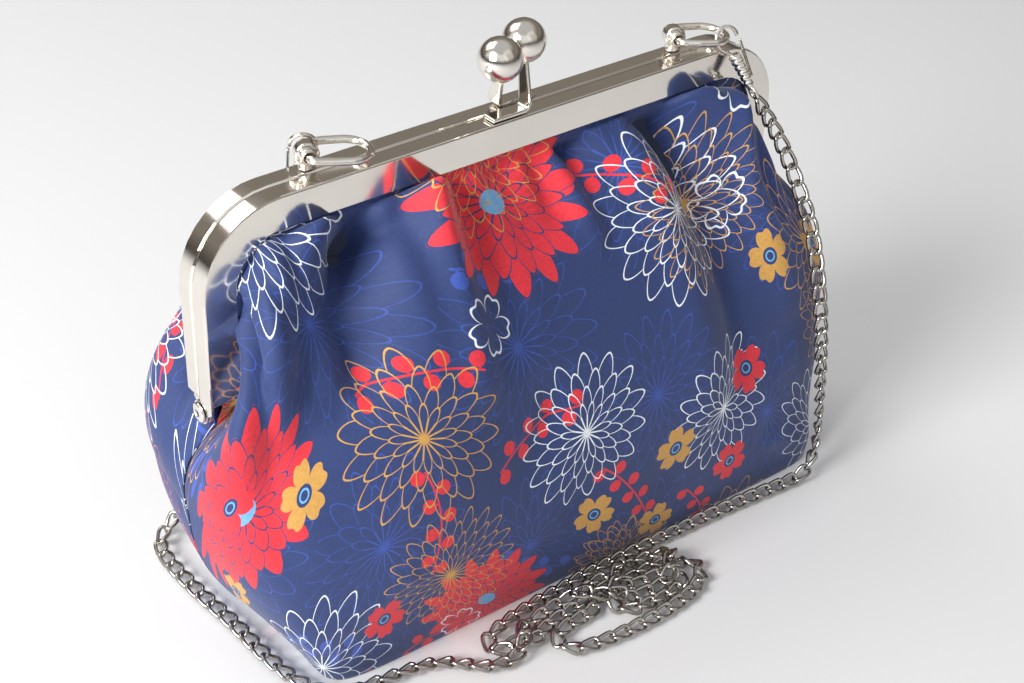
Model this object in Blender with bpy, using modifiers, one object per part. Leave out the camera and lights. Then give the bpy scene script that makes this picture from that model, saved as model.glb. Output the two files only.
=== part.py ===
"""Kiss-lock frame purse with a chain strap, in metres, +Z up, resting on its base at z = 0."""

import math

import bmesh
import bpy
import numpy as np
from mathutils import Matrix, Vector

MM = 0.001

# Shared fits
PIECE_GAP = 0.3 * MM  # air between pieces that touch on the real purse
RUN_GAP = 0.3 * MM  # air round a piece that turns

# Metal frame: two channel halves, hinged at the leg ends
FRAME_X = -5.24 * MM  # the frame sits a little to one side of the slumped bag
FRAME_LENGTH = 205 * MM
FRAME_TOP = 152.3 * MM
HINGE_DROP = 61.0 * MM
CORNER_RADIUS = 24 * MM
CHANNEL_DEPTH = 6.0 * MM
CHANNEL_FACE = 9.6 * MM
CHANNEL_WALL = 0.8 * MM
EDGE_EASE = 0.5 * MM
LEG_STOP = 4.8 * MM  # the channel ends this far above the hinge line
CORNER_STEPS = 9

# Hinge tabs and rivets
TAB_RADIUS = 3.5 * MM
TAB_THICKNESS = 0.8 * MM
RIVET_RADIUS = 1.5 * MM
RIVET_BORE = 0.9 * MM
RIVET_HEAD_RADIUS = 3.1 * MM
RIVET_HEAD_HEIGHT = 0.8 * MM

# Ball clasp
BALL_DIAMETER = 12.8 * MM
BALL_Y = 3.0 * MM
BALL_RISE = 17.6 * MM  # ball centre above the frame's top
STRAP_THICKNESS = 1.1 * MM
STRAP_WIDTH = 4.8 * MM
STRAP_FOOT_LENGTH = 13.0 * MM
STRAP_UPRIGHT_X = 3.0 * MM

# Ring lugs, turned barrels on the rear half, set at a slant
LUG_X = 65.2 * MM
LUG_TURN = -20.0  # degrees about the vertical
LUG_AXIS_RISE = 4.6 * MM
LUG_LENGTH = 7.0 * MM
LUG_DRUM_RADIUS = 3.3 * MM
LUG_COLLAR_RADIUS = 2.4 * MM
LUG_GROOVE_RADIUS = 1.95 * MM
LUG_FOOT_RADIUS = 2.4 * MM

# Strap rings
RING_WIRE = 2.3 * MM
RING_REACH = 17.0 * MM
RING_HALF_WIDTH = 6.3 * MM
RING_DROOP = 4.0  # degrees below level, where the ring comes to rest

# Spring clips at the chain's ends
CLIP_HOOK_RADIUS = 3.5 * MM
CLIP_HOOK_WIRE = 1.2 * MM
CLIP_BODY_TOP = 5.5 * MM
CLIP_BODY_LENGTH = 11.8 * MM
CLIP_BODY_TOP_RADIUS = 2.3 * MM
CLIP_BODY_FOOT_RADIUS = 1.45 * MM
CLIP_RIDGES = 5
CLIP_RIDGE_DEPTH = 0.3 * MM
CLIP_EYE_RADIUS = 1.9 * MM
CLIP_EYE_WIRE = 1.1 * MM
CLIP_FLAT = 1.1 * MM  # the gate's side of the body is cut flat this far from its middle
GATE_WIRE = 1.0 * MM
RIGHT_HOOK = (15.95 * MM, -0.21 * MM, -3.64 * MM)  # the hook's middle in its ring's axes
LEFT_HOOK = (0.05 * MM, -0.20 * MM, 4.19 * MM)
CLIP_EYE_Z = -(CLIP_BODY_TOP + CLIP_BODY_LENGTH + CLIP_EYE_RADIUS - 0.1 * MM)

# Cloth
CLOTH_THICKNESS = 0.8 * MM
LINING_THICKNESS = 0.6 * MM
LINING_SINK = 8.0 * MM  # how much lower the lining's side seams start
LINING_SLACK = 2.5 * MM  # how much further inside the lining hangs away from its edges
CORD_DIAMETER = 1.6 * MM  # paper cord that wedges the cloth in the channel
CLOTH_IN_CHANNEL = 4.6 * MM  # depth of the cloth's edge below the channel's outer face
MOUTH_CLEAR = 2.0 * MM  # the cloth turns this far outside the channel's mouth
SEAM_DROP = 7.5 * MM  # the side seams start this far under the hinge
SEAM_GAP = 1.1 * MM

# Bag form: x runs to the left end, x runs to the right end, and depth
BASE_LEFT = -87.7 * MM
BASE_RIGHT = 109.3 * MM
BASE_DEPTH = 35.0 * MM
BASE_TWIST = 0.042  # the base has turned a little under the frame: y shift per x
BELLY_LEFT = -112.3 * MM
BELLY_RIGHT = 112.2 * MM
BELLY_DEPTH = 43.0 * MM

# Chain
LINK_LENGTH = 7.9 * MM
LINK_WIDTH = 5.3 * MM
LINK_WIRE = 1.15 * MM
LINK_PITCH = 5.86 * MM  # a little over the true pitch, so that each link bites into the next

HINGE_Z = FRAME_TOP - HINGE_DROP
HALF_LENGTH = FRAME_LENGTH / 2
SPLIT_GAP = PIECE_GAP / 2 + 0.05 * MM
PANEL_Y = SPLIT_GAP + CHANNEL_DEPTH - CHANNEL_WALL - PIECE_GAP - CLOTH_THICKNESS / 2 - 0.05 * MM
LINING_FLOOR = CLOTH_THICKNESS + 2 * PIECE_GAP + LINING_THICKNESS
LINING_Y = SPLIT_GAP + CHANNEL_WALL + PIECE_GAP + LINING_THICKNESS / 2 + 0.1 * MM

NICKEL = (0.80, 0.78, 0.74)
NICKEL_DARK = (0.62, 0.60, 0.57)
NAVY = (0.055, 0.085, 0.24)
LINING_COLOUR = (0.045, 0.055, 0.11)
PAPER = (0.72, 0.64, 0.50)


def clear_scene():
    for item in list(bpy.data.objects):
        bpy.data.objects.remove(item, do_unlink=True)


def collection(name, hidden=False):
    made = bpy.data.collections.new(name)
    bpy.context.scene.collection.children.link(made)
    made.hide_render = hidden
    return made


def material(name, colour, roughness, metallic=0.0):
    made = bpy.data.materials.new(name)
    made.use_nodes = True
    shader = made.node_tree.nodes["Principled BSDF"]
    shader.inputs["Base Color"].default_value = (*colour, 1.0)
    shader.inputs["Roughness"].default_value = roughness
    shader.inputs["Metallic"].default_value = metallic
    made.diffuse_color = (*colour, 1.0)
    return made


def place(obj, name, home, look, smooth=True):
    """Name the object, put it in its collection and give it its material."""
    obj.name = name
    obj.data.name = name
    for holder in list(obj.users_collection):
        holder.objects.unlink(obj)
    home.objects.link(obj)
    obj.data.materials.clear()
    obj.data.materials.append(look)
    if smooth and obj.type == "MESH":
        obj.data.shade_smooth()
    return obj


def mesh_object(name, points, faces):
    mesh = bpy.data.meshes.new(name)
    mesh.from_pydata([tuple(p) for p in points], [], faces)
    mesh.update()
    obj = bpy.data.objects.new(name, mesh)
    bpy.context.scene.collection.objects.link(obj)
    return obj


def baked(obj):
    """The object as a plain mesh with its modifiers applied and its caps welded."""
    bpy.context.view_layer.update()
    graph = bpy.context.evaluated_depsgraph_get()
    mesh = bpy.data.meshes.new_from_object(obj.evaluated_get(graph))
    work = bmesh.new()
    work.from_mesh(mesh)
    bmesh.ops.remove_doubles(work, verts=work.verts, dist=0.002 * MM)
    bmesh.ops.recalc_face_normals(work, faces=work.faces)
    work.to_mesh(mesh)
    work.free()
    name = obj.name
    made = bpy.data.objects.new(name + "_mesh", mesh)
    bpy.context.scene.collection.objects.link(made)
    made.matrix_world = obj.matrix_world.copy()
    bpy.data.objects.remove(obj, do_unlink=True)
    made.name = name
    return made


def combined(base, others, operation):
    """Join or cut the first object with the others, and remove those."""
    for other in others:
        change = base.modifiers.new(operation.lower(), "BOOLEAN")
        change.solver = "EXACT"
        change.operation = operation
        change.object = other
    made = baked(base)
    for other in others:
        bpy.data.objects.remove(other, do_unlink=True)
    return made


def turned(name, profile, steps):
    """A Screw of an outline in X (radius) and Z, closed on itself or open at the axis."""
    points = [(x, 0.0, z) for x, z in profile]
    mesh = bpy.data.meshes.new(name)
    edges = [(i, i + 1) for i in range(len(points) - 1)]
    if profile[0][0] > 0:
        edges.append((len(points) - 1, 0))
    mesh.from_pydata(points, edges, [])
    obj = bpy.data.objects.new(name, mesh)
    bpy.context.scene.collection.objects.link(obj)
    screw = obj.modifiers.new("turn", "SCREW")
    screw.steps = steps
    screw.render_steps = steps
    screw.use_merge_vertices = True
    screw.merge_threshold = 0.00001
    return baked(obj)


def wire(name, route, diameter, resolution=2, cyclic=False):
    """A round wire along the points of its middle line."""
    curve = bpy.data.curves.new(name, "CURVE")
    curve.dimensions = "3D"
    curve.bevel_depth = diameter / 2
    curve.bevel_resolution = resolution
    curve.use_fill_caps = True
    spline = curve.splines.new("POLY")
    spline.points.add(len(route) - 1)
    for point, where in zip(spline.points, route):
        point.co = (*where, 1.0)
    spline.use_cyclic_u = cyclic
    obj = bpy.data.objects.new(name, curve)
    bpy.context.scene.collection.objects.link(obj)
    return baked(obj)


def outward(obj):
    """Turn the mesh's faces to point out."""
    work = bmesh.new()
    work.from_mesh(obj.data)
    bmesh.ops.recalc_face_normals(work, faces=work.faces)
    work.to_mesh(obj.data)
    work.free()
    return obj


def plate(name, outline, thickness):
    """A flat piece with its outline in local XY and its thickness along local Z."""
    curve = bpy.data.curves.new(name, "CURVE")
    curve.dimensions = "2D"
    curve.fill_mode = "BOTH"
    curve.extrude = thickness / 2
    spline = curve.splines.new("POLY")
    spline.points.add(len(outline) - 1)
    for point, (x, y) in zip(spline.points, outline):
        point.co = (x, y, 0.0, 1.0)
    spline.use_cyclic_u = True
    obj = bpy.data.objects.new(name, curve)
    bpy.context.scene.collection.objects.link(obj)
    return baked(obj)


def box(name, low, high):
    low, high = Vector(low), Vector(high)
    mesh = bpy.data.meshes.new(name)
    work = bmesh.new()
    bmesh.ops.create_cube(work, size=1.0)
    bmesh.ops.scale(work, vec=high - low, verts=work.verts)
    bmesh.ops.translate(work, vec=(low + high) / 2, verts=work.verts)
    work.to_mesh(mesh)
    work.free()
    obj = bpy.data.objects.new(name, mesh)
    bpy.context.scene.collection.objects.link(obj)
    return obj


def moved(obj, matrix):
    """Carry the mesh by a matrix, leaving the object's own origin alone."""
    obj.data.transform(matrix)
    obj.data.update()
    return obj


def origin_at(obj, where):
    """Put the object's origin at a world point without moving its shape."""
    obj.data.transform(Matrix.Translation(-Vector(where)))
    obj.location = where
    return obj


def arc(centre, radius, start, end, steps):
    """Points on an arc, angles in degrees, both ends included."""
    return [
        (
            centre[0] + radius * math.cos(math.radians(start + (end - start) * i / steps)),
            centre[1] + radius * math.sin(math.radians(start + (end - start) * i / steps)),
        )
        for i in range(steps + 1)
    ]


# The frame's line


def u_line(offset, leg_end, steps=CORNER_STEPS):
    """(x, z) points of the U, left leg end to right leg end, this far inside its outer face."""
    half = HALF_LENGTH - offset
    top = FRAME_TOP - offset
    radius = CORNER_RADIUS - offset
    left = arc((-half + radius, top - radius), radius, 180, 90, steps)
    right = arc((half - radius, top - radius), radius, 90, 0, steps)
    points = [(-half, leg_end)] + left + right + [(half, leg_end)]
    return [(FRAME_X + x, z) for x, z in points]


def u_inward(steps=CORNER_STEPS):
    """Unit inward normals of the same points."""
    angles = [180.0] + [180 - 90 * i / steps for i in range(steps + 1)]
    angles += [90 - 90 * i / steps for i in range(steps + 1)] + [0.0]
    return [(-math.cos(math.radians(a)), -math.sin(math.radians(a))) for a in angles]


def swept_u(name, section, leg_end):
    """A section carried round the U. The section holds (inward offset, y) points."""
    normals = u_inward()
    line = u_line(0.0, leg_end)
    points = []
    for (x, z), (nx, nz) in zip(line, normals):
        for inward, y in section:
            points.append((x + nx * inward, y, z + nz * inward))
    size = len(section)
    faces = []
    for row in range(len(line) - 1):
        for i in range(size):
            a = row * size + i
            b = row * size + (i + 1) % size
            faces.append((a, b, b + size, a + size))
    faces.append(tuple(range(size)))
    faces.append(tuple((len(line) - 1) * size + i for i in reversed(range(size))))
    return outward(mesh_object(name, points, faces))


def channel_section(side):
    """The U-shaped channel: outer face, top wall, and the wall that meets the other half."""
    near = side * SPLIT_GAP
    far = side * (SPLIT_GAP + CHANNEL_DEPTH)
    wall = side * CHANNEL_WALL
    ease = side * EDGE_EASE
    inner_reach = CHANNEL_FACE - 0.6 * MM
    return [
        (CHANNEL_FACE, far),
        (EDGE_EASE, far),
        (EDGE_EASE * 0.3, far - ease * 0.3),
        (0.0, far - ease),
        (0.0, near + ease),
        (EDGE_EASE, near),
        (inner_reach, near),
        (inner_reach, near + wall),
        (CHANNEL_WALL, near + wall),
        (CHANNEL_WALL, far - wall),
        (CHANNEL_FACE, far - wall),
    ]


def hinge_tab(name, side, end, layer):
    """A tab along one leg's side wall with a round lobe on the hinge line.

    end is -1 at the left leg and +1 at the right one; layer 0 is the outer one.
    """
    near = side * (SPLIT_GAP + 0.1 * MM)
    far = side * (SPLIT_GAP + CHANNEL_DEPTH - 0.1 * MM)
    if layer:
        far = side * (SPLIT_GAP + CHANNEL_DEPTH - CHANNEL_WALL - PIECE_GAP)
        near = side * (SPLIT_GAP + CHANNEL_WALL + PIECE_GAP)
    top = HINGE_Z + LEG_STOP + 6.0 * MM
    circle = arc((0.0, HINGE_Z), TAB_RADIUS, 0, 360, 28)[:-1]
    depth = TAB_THICKNESS
    inset = layer * (TAB_THICKNESS + PIECE_GAP)
    outline = [(near, top), (far, top), (far, HINGE_Z + 2.2 * MM)]
    outline += [(far * 0.55, HINGE_Z), (near, HINGE_Z)]
    strip = plate(name + "_strip", outline, depth)
    lobe = plate(name + "_lobe", circle, depth)
    tab = combined(strip, [lobe], "UNION")
    bore = RIVET_RADIUS + RUN_GAP + 0.05 * MM
    hole = plate(name + "_hole", arc((0.0, HINGE_Z), bore, 0, 360, 20)[:-1], 4 * depth)
    tab = combined(tab, [hole], "DIFFERENCE")
    x = FRAME_X + end * (HALF_LENGTH - inset - TAB_THICKNESS / 2)
    turn = Matrix(((0, 0, 1, x), (1, 0, 0, 0), (0, 1, 0, 0), (0, 0, 0, 1)))
    moved(tab, turn)
    tab = baked(tab)
    if not layer:
        return [tab]
    step = box(
        name + "_step",
        (
            FRAME_X + end * (HALF_LENGTH - 0.4 * MM),
            min(near, far),
            HINGE_Z + LEG_STOP + 0.6 * MM,
        ),
        (
            FRAME_X + end * (HALF_LENGTH - inset - TAB_THICKNESS / 2),
            max(near, far),
            top - 0.2 * MM,
        ),
    )
    return [tab, outward(step)]


def frame_half(name, side, layer, home, look):
    base = swept_u(name, channel_section(side), HINGE_Z + LEG_STOP)
    pieces = []
    for end, word in ((-1, "left"), (1, "right")):
        pieces += hinge_tab(f"{name}_tab_{word}", side, end, layer)
    half = combined(base, pieces, "UNION")
    origin_at(half, (FRAME_X, 0.0, HINGE_Z))
    return place(half, name, home, look, smooth=False)


def paper_cord(name, side, home, look):
    """The stiff cord pushed into the channel between the cloth and the lining."""
    radius = CORD_DIAMETER / 2
    wedge = CHANNEL_DEPTH - CHANNEL_WALL - 2 * PIECE_GAP - CLOTH_THICKNESS - radius
    y = side * (SPLIT_GAP + wedge)
    depth = CHANNEL_WALL + PIECE_GAP + 1.2 * MM + radius
    line = u_line(depth, HINGE_Z + LEG_STOP + 1.0 * MM, 8)
    cord = wire(name, [(x, y, z) for x, z in line], CORD_DIAMETER, 1)
    origin_at(cord, (FRAME_X, 0.0, HINGE_Z))
    return place(cord, name, home, look)


def hinge_rivet(name, end, home, look):
    """A hollow rivet through both tabs, its profile turned about the hinge line."""
    grip_out = PIECE_GAP
    grip_in = -(2 * TAB_THICKNESS + 2 * PIECE_GAP)
    outline = [
        (RIVET_BORE, grip_out + RIVET_HEAD_HEIGHT),
        (RIVET_HEAD_RADIUS - 1.4 * MM, grip_out + RIVET_HEAD_HEIGHT),
        (RIVET_HEAD_RADIUS - 0.35 * MM, grip_out + 0.72 * RIVET_HEAD_HEIGHT),
        (RIVET_HEAD_RADIUS, grip_out + 0.3 * RIVET_HEAD_HEIGHT),
        (RIVET_HEAD_RADIUS, grip_out),
        (RIVET_RADIUS, grip_out),
        (RIVET_RADIUS, grip_in),
        (RIVET_HEAD_RADIUS - 0.9 * MM, grip_in),
        (RIVET_HEAD_RADIUS - 0.9 * MM, grip_in - 0.5 * MM),
        (RIVET_BORE, grip_in - 0.6 * MM),
    ]
    rivet = turned(name, outline, 16)
    face = FRAME_X + end * HALF_LENGTH
    moved(rivet, Matrix.Rotation(end * math.pi / 2, 4, "Y"))
    moved(rivet, Matrix.Translation((face, 0.0, HINGE_Z)))
    origin_at(rivet, (face, 0.0, HINGE_Z))
    return place(rivet, name, home, look)


# The clasp


def clasp_arm(name, side, home, look):
    """A flat strap on one half's top that turns up and leans to the ball over the other half.

    side is -1 for the front half's arm; its ball is to the right.
    """
    top = FRAME_TOP + PIECE_GAP
    half = STRAP_THICKNESS / 2
    run_y = side * (SPLIT_GAP + CHANNEL_DEPTH / 2)
    ball = ball_centre(side)
    bend = 1.6 * MM
    x1 = -side * STRAP_UPRIGHT_X
    foot_end = x1 + side * STRAP_FOOT_LENGTH
    neck_x = abs(ball[0] - FRAME_X) - 0.4 * MM
    neck_end = Vector((-side * neck_x, ball[1] * 0.75, ball[2] - 0.46 * BALL_DIAMETER))
    line = [Vector((foot_end, run_y, top + half)), Vector((x1 + side * bend, run_y, top + half))]
    line.append(Vector((x1 + side * bend * 0.3, run_y, top + half + bend * 0.3)))
    line.append(Vector((x1, run_y * 0.96, top + half + bend)))
    for share in (0.35, 0.7, 1.0):
        line.append(line[3].lerp(neck_end, share))
    widths = [STRAP_WIDTH * share for share in (1.0, 1.0, 1.0, 1.0, 0.86, 0.76, 0.7)]
    points = []
    for i, middle in enumerate(line):
        before = line[max(i - 1, 0)]
        after = line[min(i + 1, len(line) - 1)]
        along = (after - before).normalized()
        across = Vector((0.0, 1.0, 0.0))
        out = along.cross(across).normalized()
        across = out.cross(along).normalized()
        for a, b in ((-1, -1), (1, -1), (1, 1), (-1, 1)):
            points.append(middle + across * (a * widths[i] / 2) + out * (b * half))
    faces = []
    for row in range(len(line) - 1):
        for i in range(4):
            a = 4 * row + i
            b = 4 * row + (i + 1) % 4
            faces.append((a, b, b + 4, a + 4))
    faces.append((0, 1, 2, 3))
    last = 4 * (len(line) - 1)
    faces.append((last + 3, last + 2, last + 1, last))
    arm = outward(mesh_object(name, [p + Vector((FRAME_X, 0, 0)) for p in points], faces))
    ease = arm.modifiers.new("ease", "BEVEL")
    ease.width = 0.2 * MM
    ease.segments = 2
    ease.angle_limit = math.radians(50)
    arm = baked(arm)
    origin_at(arm, (FRAME_X, 0.0, HINGE_Z))
    return place(arm, name, home, look)


def ball_centre(side):
    """Centre of the ball on the arm of this half: it sits over the other half."""
    x = BALL_DIAMETER / 2 + RUN_GAP / 2
    return Vector((FRAME_X - side * x, -side * BALL_Y, FRAME_TOP + BALL_RISE))


def clasp_ball(name, side):
    mesh = bpy.data.meshes.new(name)
    work = bmesh.new()
    bmesh.ops.create_uvsphere(work, u_segments=22, v_segments=12, radius=BALL_DIAMETER / 2)
    work.to_mesh(mesh)
    work.free()
    ball = bpy.data.objects.new(name, mesh)
    bpy.context.scene.collection.objects.link(ball)
    moved(ball, Matrix.Translation(ball_centre(side)))
    return ball


def clasp(name_arm, name_ball, side, home, look):
    """The arm, and the ball with a socket that takes the arm's end."""
    arm = clasp_arm(name_arm, side, home, look)
    ball = clasp_ball(name_ball, side)
    ball_at = ball_centre(side)
    bpy.context.view_layer.update()
    grown = arm.data.copy()
    cutter = bpy.data.objects.new("socket", grown)
    bpy.context.scene.collection.objects.link(cutter)
    cutter.matrix_world = arm.matrix_world.copy()
    swell = cutter.modifiers.new("swell", "DISPLACE")
    swell.mid_level = 0.0
    swell.strength = PIECE_GAP + 0.06 * MM
    cutter = baked(cutter)
    ball = combined(ball, [cutter], "DIFFERENCE")
    origin_at(ball, ball_at)
    return arm, place(ball, name_ball, home, look)


# Lugs and rings


def lug_place(end):
    """Matrix from a lug's own axes (Z along its barrel, X where the ring points) to the world."""
    where = Vector((FRAME_X + end * LUG_X, SPLIT_GAP + CHANNEL_DEPTH * 0.42, FRAME_TOP + LUG_AXIS_RISE))
    upright = Matrix(((1, 0, 0, 0), (0, 0, 1, 0), (0, -1, 0, 0), (0, 0, 0, 1)))
    return Matrix.Translation(where) @ Matrix.Rotation(math.radians(LUG_TURN), 4, "Z") @ upright


def ring_lug(name, end, home, look):
    half = LUG_LENGTH / 2
    bore = RING_WIRE / 2 + RUN_GAP + 0.08 * MM
    outline = [
        (bore, half),
        (LUG_COLLAR_RADIUS - 0.3 * MM, half),
        (LUG_COLLAR_RADIUS, half - 0.3 * MM),
        (LUG_COLLAR_RADIUS, half - 1.0 * MM),
        (LUG_GROOVE_RADIUS, half - 1.2 * MM),
        (LUG_GROOVE_RADIUS, half - 1.6 * MM),
        (LUG_DRUM_RADIUS - 0.35 * MM, half - 1.7 * MM),
        (LUG_DRUM_RADIUS, half - 2.05 * MM),
        (LUG_DRUM_RADIUS, -half + 2.05 * MM),
        (LUG_DRUM_RADIUS - 0.35 * MM, -half + 1.7 * MM),
        (LUG_GROOVE_RADIUS, -half + 1.6 * MM),
        (LUG_GROOVE_RADIUS, -half + 1.2 * MM),
        (LUG_COLLAR_RADIUS, -half + 1.0 * MM),
        (LUG_COLLAR_RADIUS, -half + 0.3 * MM),
        (LUG_COLLAR_RADIUS - 0.3 * MM, -half),
        (bore, -half),
    ]
    barrel = turned(name, outline, 16)
    moved(barrel, lug_place(end))
    where = lug_place(end).translation
    foot_low = FRAME_TOP + PIECE_GAP
    foot_high = where.z - LUG_GROOVE_RADIUS
    foot = turned(
        name + "_foot",
        [(0.0, foot_high), (LUG_FOOT_RADIUS, foot_high), (LUG_FOOT_RADIUS, foot_low), (0.0, foot_low)],
        16,
    )
    moved(foot, Matrix.Translation((where.x, where.y, 0.0)))
    lug = combined(barrel, [foot], "UNION")
    origin_at(lug, where)
    return place(lug, name, home, look)


def ring_route():
    """The ring's middle line in its lug's axes: both ends lie in the barrel's bore."""
    in_bore = LUG_LENGTH / 2 - 2.4 * MM
    corner = 2.4 * MM
    wide = RING_HALF_WIDTH - 0.6 * MM
    start = [(0.0, in_bore), (0.0, wide - corner)]
    bend = arc((corner, wide - corner), corner, 180, 100, 4)[1:]
    side = [(RING_REACH * 0.36, wide + 0.45 * MM)]
    tip_radius = RING_HALF_WIDTH
    tip = arc((RING_REACH - tip_radius, 0.0), tip_radius, 84, 0, 6)
    upper = start + bend + side + tip
    lower = [(x, -s) for x, s in reversed(upper[:-1])]
    return upper + lower


def ring_place(end):
    """The same axes for the ring itself, which has come to rest a little below level."""
    return lug_place(end) @ Matrix.Rotation(math.radians(RING_DROOP), 4, "Z")


def strap_ring(name, end, home, look):
    ring = wire(name, [(x, 0.0, s) for x, s in ring_route()], RING_WIRE, 2)
    moved(ring, ring_place(end))
    origin_at(ring, lug_place(end).translation)
    return place(ring, name, home, look)


# Clips. A clip's own axes: origin in the hook's middle, -Z down its body, gate on the -X side


def clip_body(name, matrix, home, look):
    top = -CLIP_BODY_TOP
    outline = [(0.0, top), (CLIP_BODY_TOP_RADIUS - 0.7 * MM, top), (CLIP_BODY_TOP_RADIUS, top - 0.9 * MM)]
    ridge = (CLIP_BODY_LENGTH - 2.2 * MM) / CLIP_RIDGES
    for i in range(CLIP_RIDGES):
        share = (i + 0.5) / CLIP_RIDGES
        radius = CLIP_BODY_TOP_RADIUS + (CLIP_BODY_FOOT_RADIUS - CLIP_BODY_TOP_RADIUS) * share
        z = top - 1.4 * MM - i * ridge
        outline.append((radius - CLIP_RIDGE_DEPTH, z))
        outline.append((radius, z - 0.35 * ridge))
        outline.append((radius, z - 0.7 * ridge))
    foot = top - CLIP_BODY_LENGTH
    outline.append((CLIP_BODY_FOOT_RADIUS - 0.2 * MM, foot + 0.4 * MM))
    outline.append((CLIP_BODY_FOOT_RADIUS - 0.5 * MM, foot))
    outline.append((0.0, foot))
    body = turned(name, outline, 12)
    reach = 2 * CLIP_BODY_TOP_RADIUS
    flat = box(
        name + "_flat",
        (-reach, -reach, foot + 1.6 * MM),
        (-CLIP_FLAT, reach, top + 1.0 * MM),
    )
    body = combined(body, [flat], "DIFFERENCE")
    rise = CLIP_HOOK_RADIUS
    shank = [(0.7 * MM, top - 1.5 * MM), (1.1 * MM, top + 0.4 * MM), (rise - 0.5 * MM, -rise * 0.72)]
    bow = arc((0.0, 0.0), rise, -22, 196, 10)
    hook = wire(name + "_hook", [(x, 0.0, z) for x, z in shank + bow], CLIP_HOOK_WIRE, 1)
    loop = arc((0.0, CLIP_EYE_Z), CLIP_EYE_RADIUS, 0, 360, 12)[:-1]
    eye = wire(name + "_eye", [(0.0, x, z) for x, z in loop], CLIP_EYE_WIRE, 1, cyclic=True)
    body = combined(body, [hook, eye], "UNION")
    moved(body, matrix)
    origin_at(body, matrix.translation)
    return place(body, name, home, look)


def gate_line():
    """The gate's middle line: from its pivot beside the body's foot up to the hook's tip."""
    top = -CLIP_BODY_TOP
    pivot = (-CLIP_FLAT - GATE_WIRE / 2 - PIECE_GAP, top - CLIP_BODY_LENGTH + 2.9 * MM)
    tip_z = -CLIP_HOOK_RADIUS * 0.28 - CLIP_HOOK_WIRE / 2 - 0.75 * MM
    return Vector((pivot[0], 0.0, pivot[1])), Vector((-CLIP_HOOK_RADIUS - 0.05 * MM, 0.0, tip_z))


def clip_gate(name, matrix, home, look):
    pivot, tip = gate_line()
    gate = wire(name, [pivot, pivot.lerp(tip, 0.5), tip], GATE_WIRE, 2)
    moved(gate, matrix)
    origin_at(gate, matrix @ pivot)
    return place(gate, name, home, look)


def clip_matrix(where, down, gate_side):
    """A clip's axes from its hook's middle, the way its body hangs, and the way its gate faces."""
    up = -Vector(down).normalized()
    side = -Vector(gate_side)
    side = (side - up * side.dot(up)).normalized()
    across = up.cross(side)
    turn = Matrix((side, across, up)).transposed().to_4x4()
    return Matrix.Translation(Vector(where)) @ turn


def right_clip_matrix():
    hook = ring_place(1) @ Vector(RIGHT_HOOK)
    return clip_matrix(hook, (0.289, -0.450, -0.845), (0.264, 0.370, 1.148))


def left_clip_matrix():
    hook = ring_place(-1) @ Vector(LEFT_HOOK)
    return clip_matrix(hook, (0.018, 0.362, -0.932), (-0.248, 0.445, -0.744))


# The bag's cloth


def smooth(low, high, value):
    share = np.clip((value - low) / (high - low), 0.0, 1.0)
    return share * share * (3.0 - 2.0 * share)


LEG_SHARE = 0.17  # of the rim's run, from a seam to the start of a corner
CORNER_SHARE = 0.10
SEAM_SHARE = 0.035  # the short stretch between a seam's top and the channel's end


def rim_point(t, offset, seam_point):
    """(x, z) on the rim at t in 0..1, this far inside the U's outer face."""
    half = HALF_LENGTH - offset
    top = FRAME_TOP - offset
    radius = CORNER_RADIUS - offset
    leg_end = HINGE_Z + LEG_STOP
    left = t <= 0.5
    s = t if left else 1.0 - t
    sign = -1.0 if left else 1.0
    if s < SEAM_SHARE:
        share = s / SEAM_SHARE
        x = half + (seam_point[0] - half) * (1 - share)
        z = leg_end + (seam_point[1] - leg_end) * (1 - share)
    elif s < LEG_SHARE:
        share = (s - SEAM_SHARE) / (LEG_SHARE - SEAM_SHARE)
        x = half
        z = leg_end + (top - radius - leg_end) * share
    elif s < LEG_SHARE + CORNER_SHARE:
        angle = (s - LEG_SHARE) / CORNER_SHARE * math.pi / 2
        x = half - radius + radius * math.cos(angle)
        z = top - radius + radius * math.sin(angle)
    else:
        share = (s - LEG_SHARE - CORNER_SHARE) / (0.5 - LEG_SHARE - CORNER_SHARE)
        x = (half - radius) * (1 - share)
        z = top
    return FRAME_X + sign * x, z


def rim_inward(t):
    """Unit vector in XZ that points into the U at t."""
    s = min(t, 1.0 - t)
    sign = -1.0 if t <= 0.5 else 1.0
    angle = float(np.clip((s - LEG_SHARE) / CORNER_SHARE, 0.0, 1.0)) * math.pi / 2
    return -sign * math.cos(angle), -math.sin(angle)


def half_loop(left, right, depth, side, roundness):
    """A dense half of a rounded rectangle from its left end to its right end, by run length."""
    angle = np.linspace(math.pi, 0.0, 361)
    power = 2.0 / roundness
    around = np.sign(np.cos(angle)) * np.abs(np.cos(angle)) ** power
    x = (left + right) / 2 + (right - left) / 2 * around
    y = side * depth * np.abs(np.sin(angle)) ** power
    run = np.concatenate([[0.0], np.cumsum(np.hypot(np.diff(x), np.diff(y)))])
    return x, y, run / run[-1]


def on_loop(loop, t):
    x, y, run = loop
    return np.interp(t, run, x), np.interp(t, run, y)


def cubic(a, b, c, d, s):
    return (1 - s) ** 3 * a + 3 * (1 - s) ** 2 * s * b + 3 * (1 - s) * s * s * c + s**3 * d


def by_place(t, places, values):
    """A value along the rim, eased between named places."""
    return float(np.interp(t, places, values))


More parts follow.
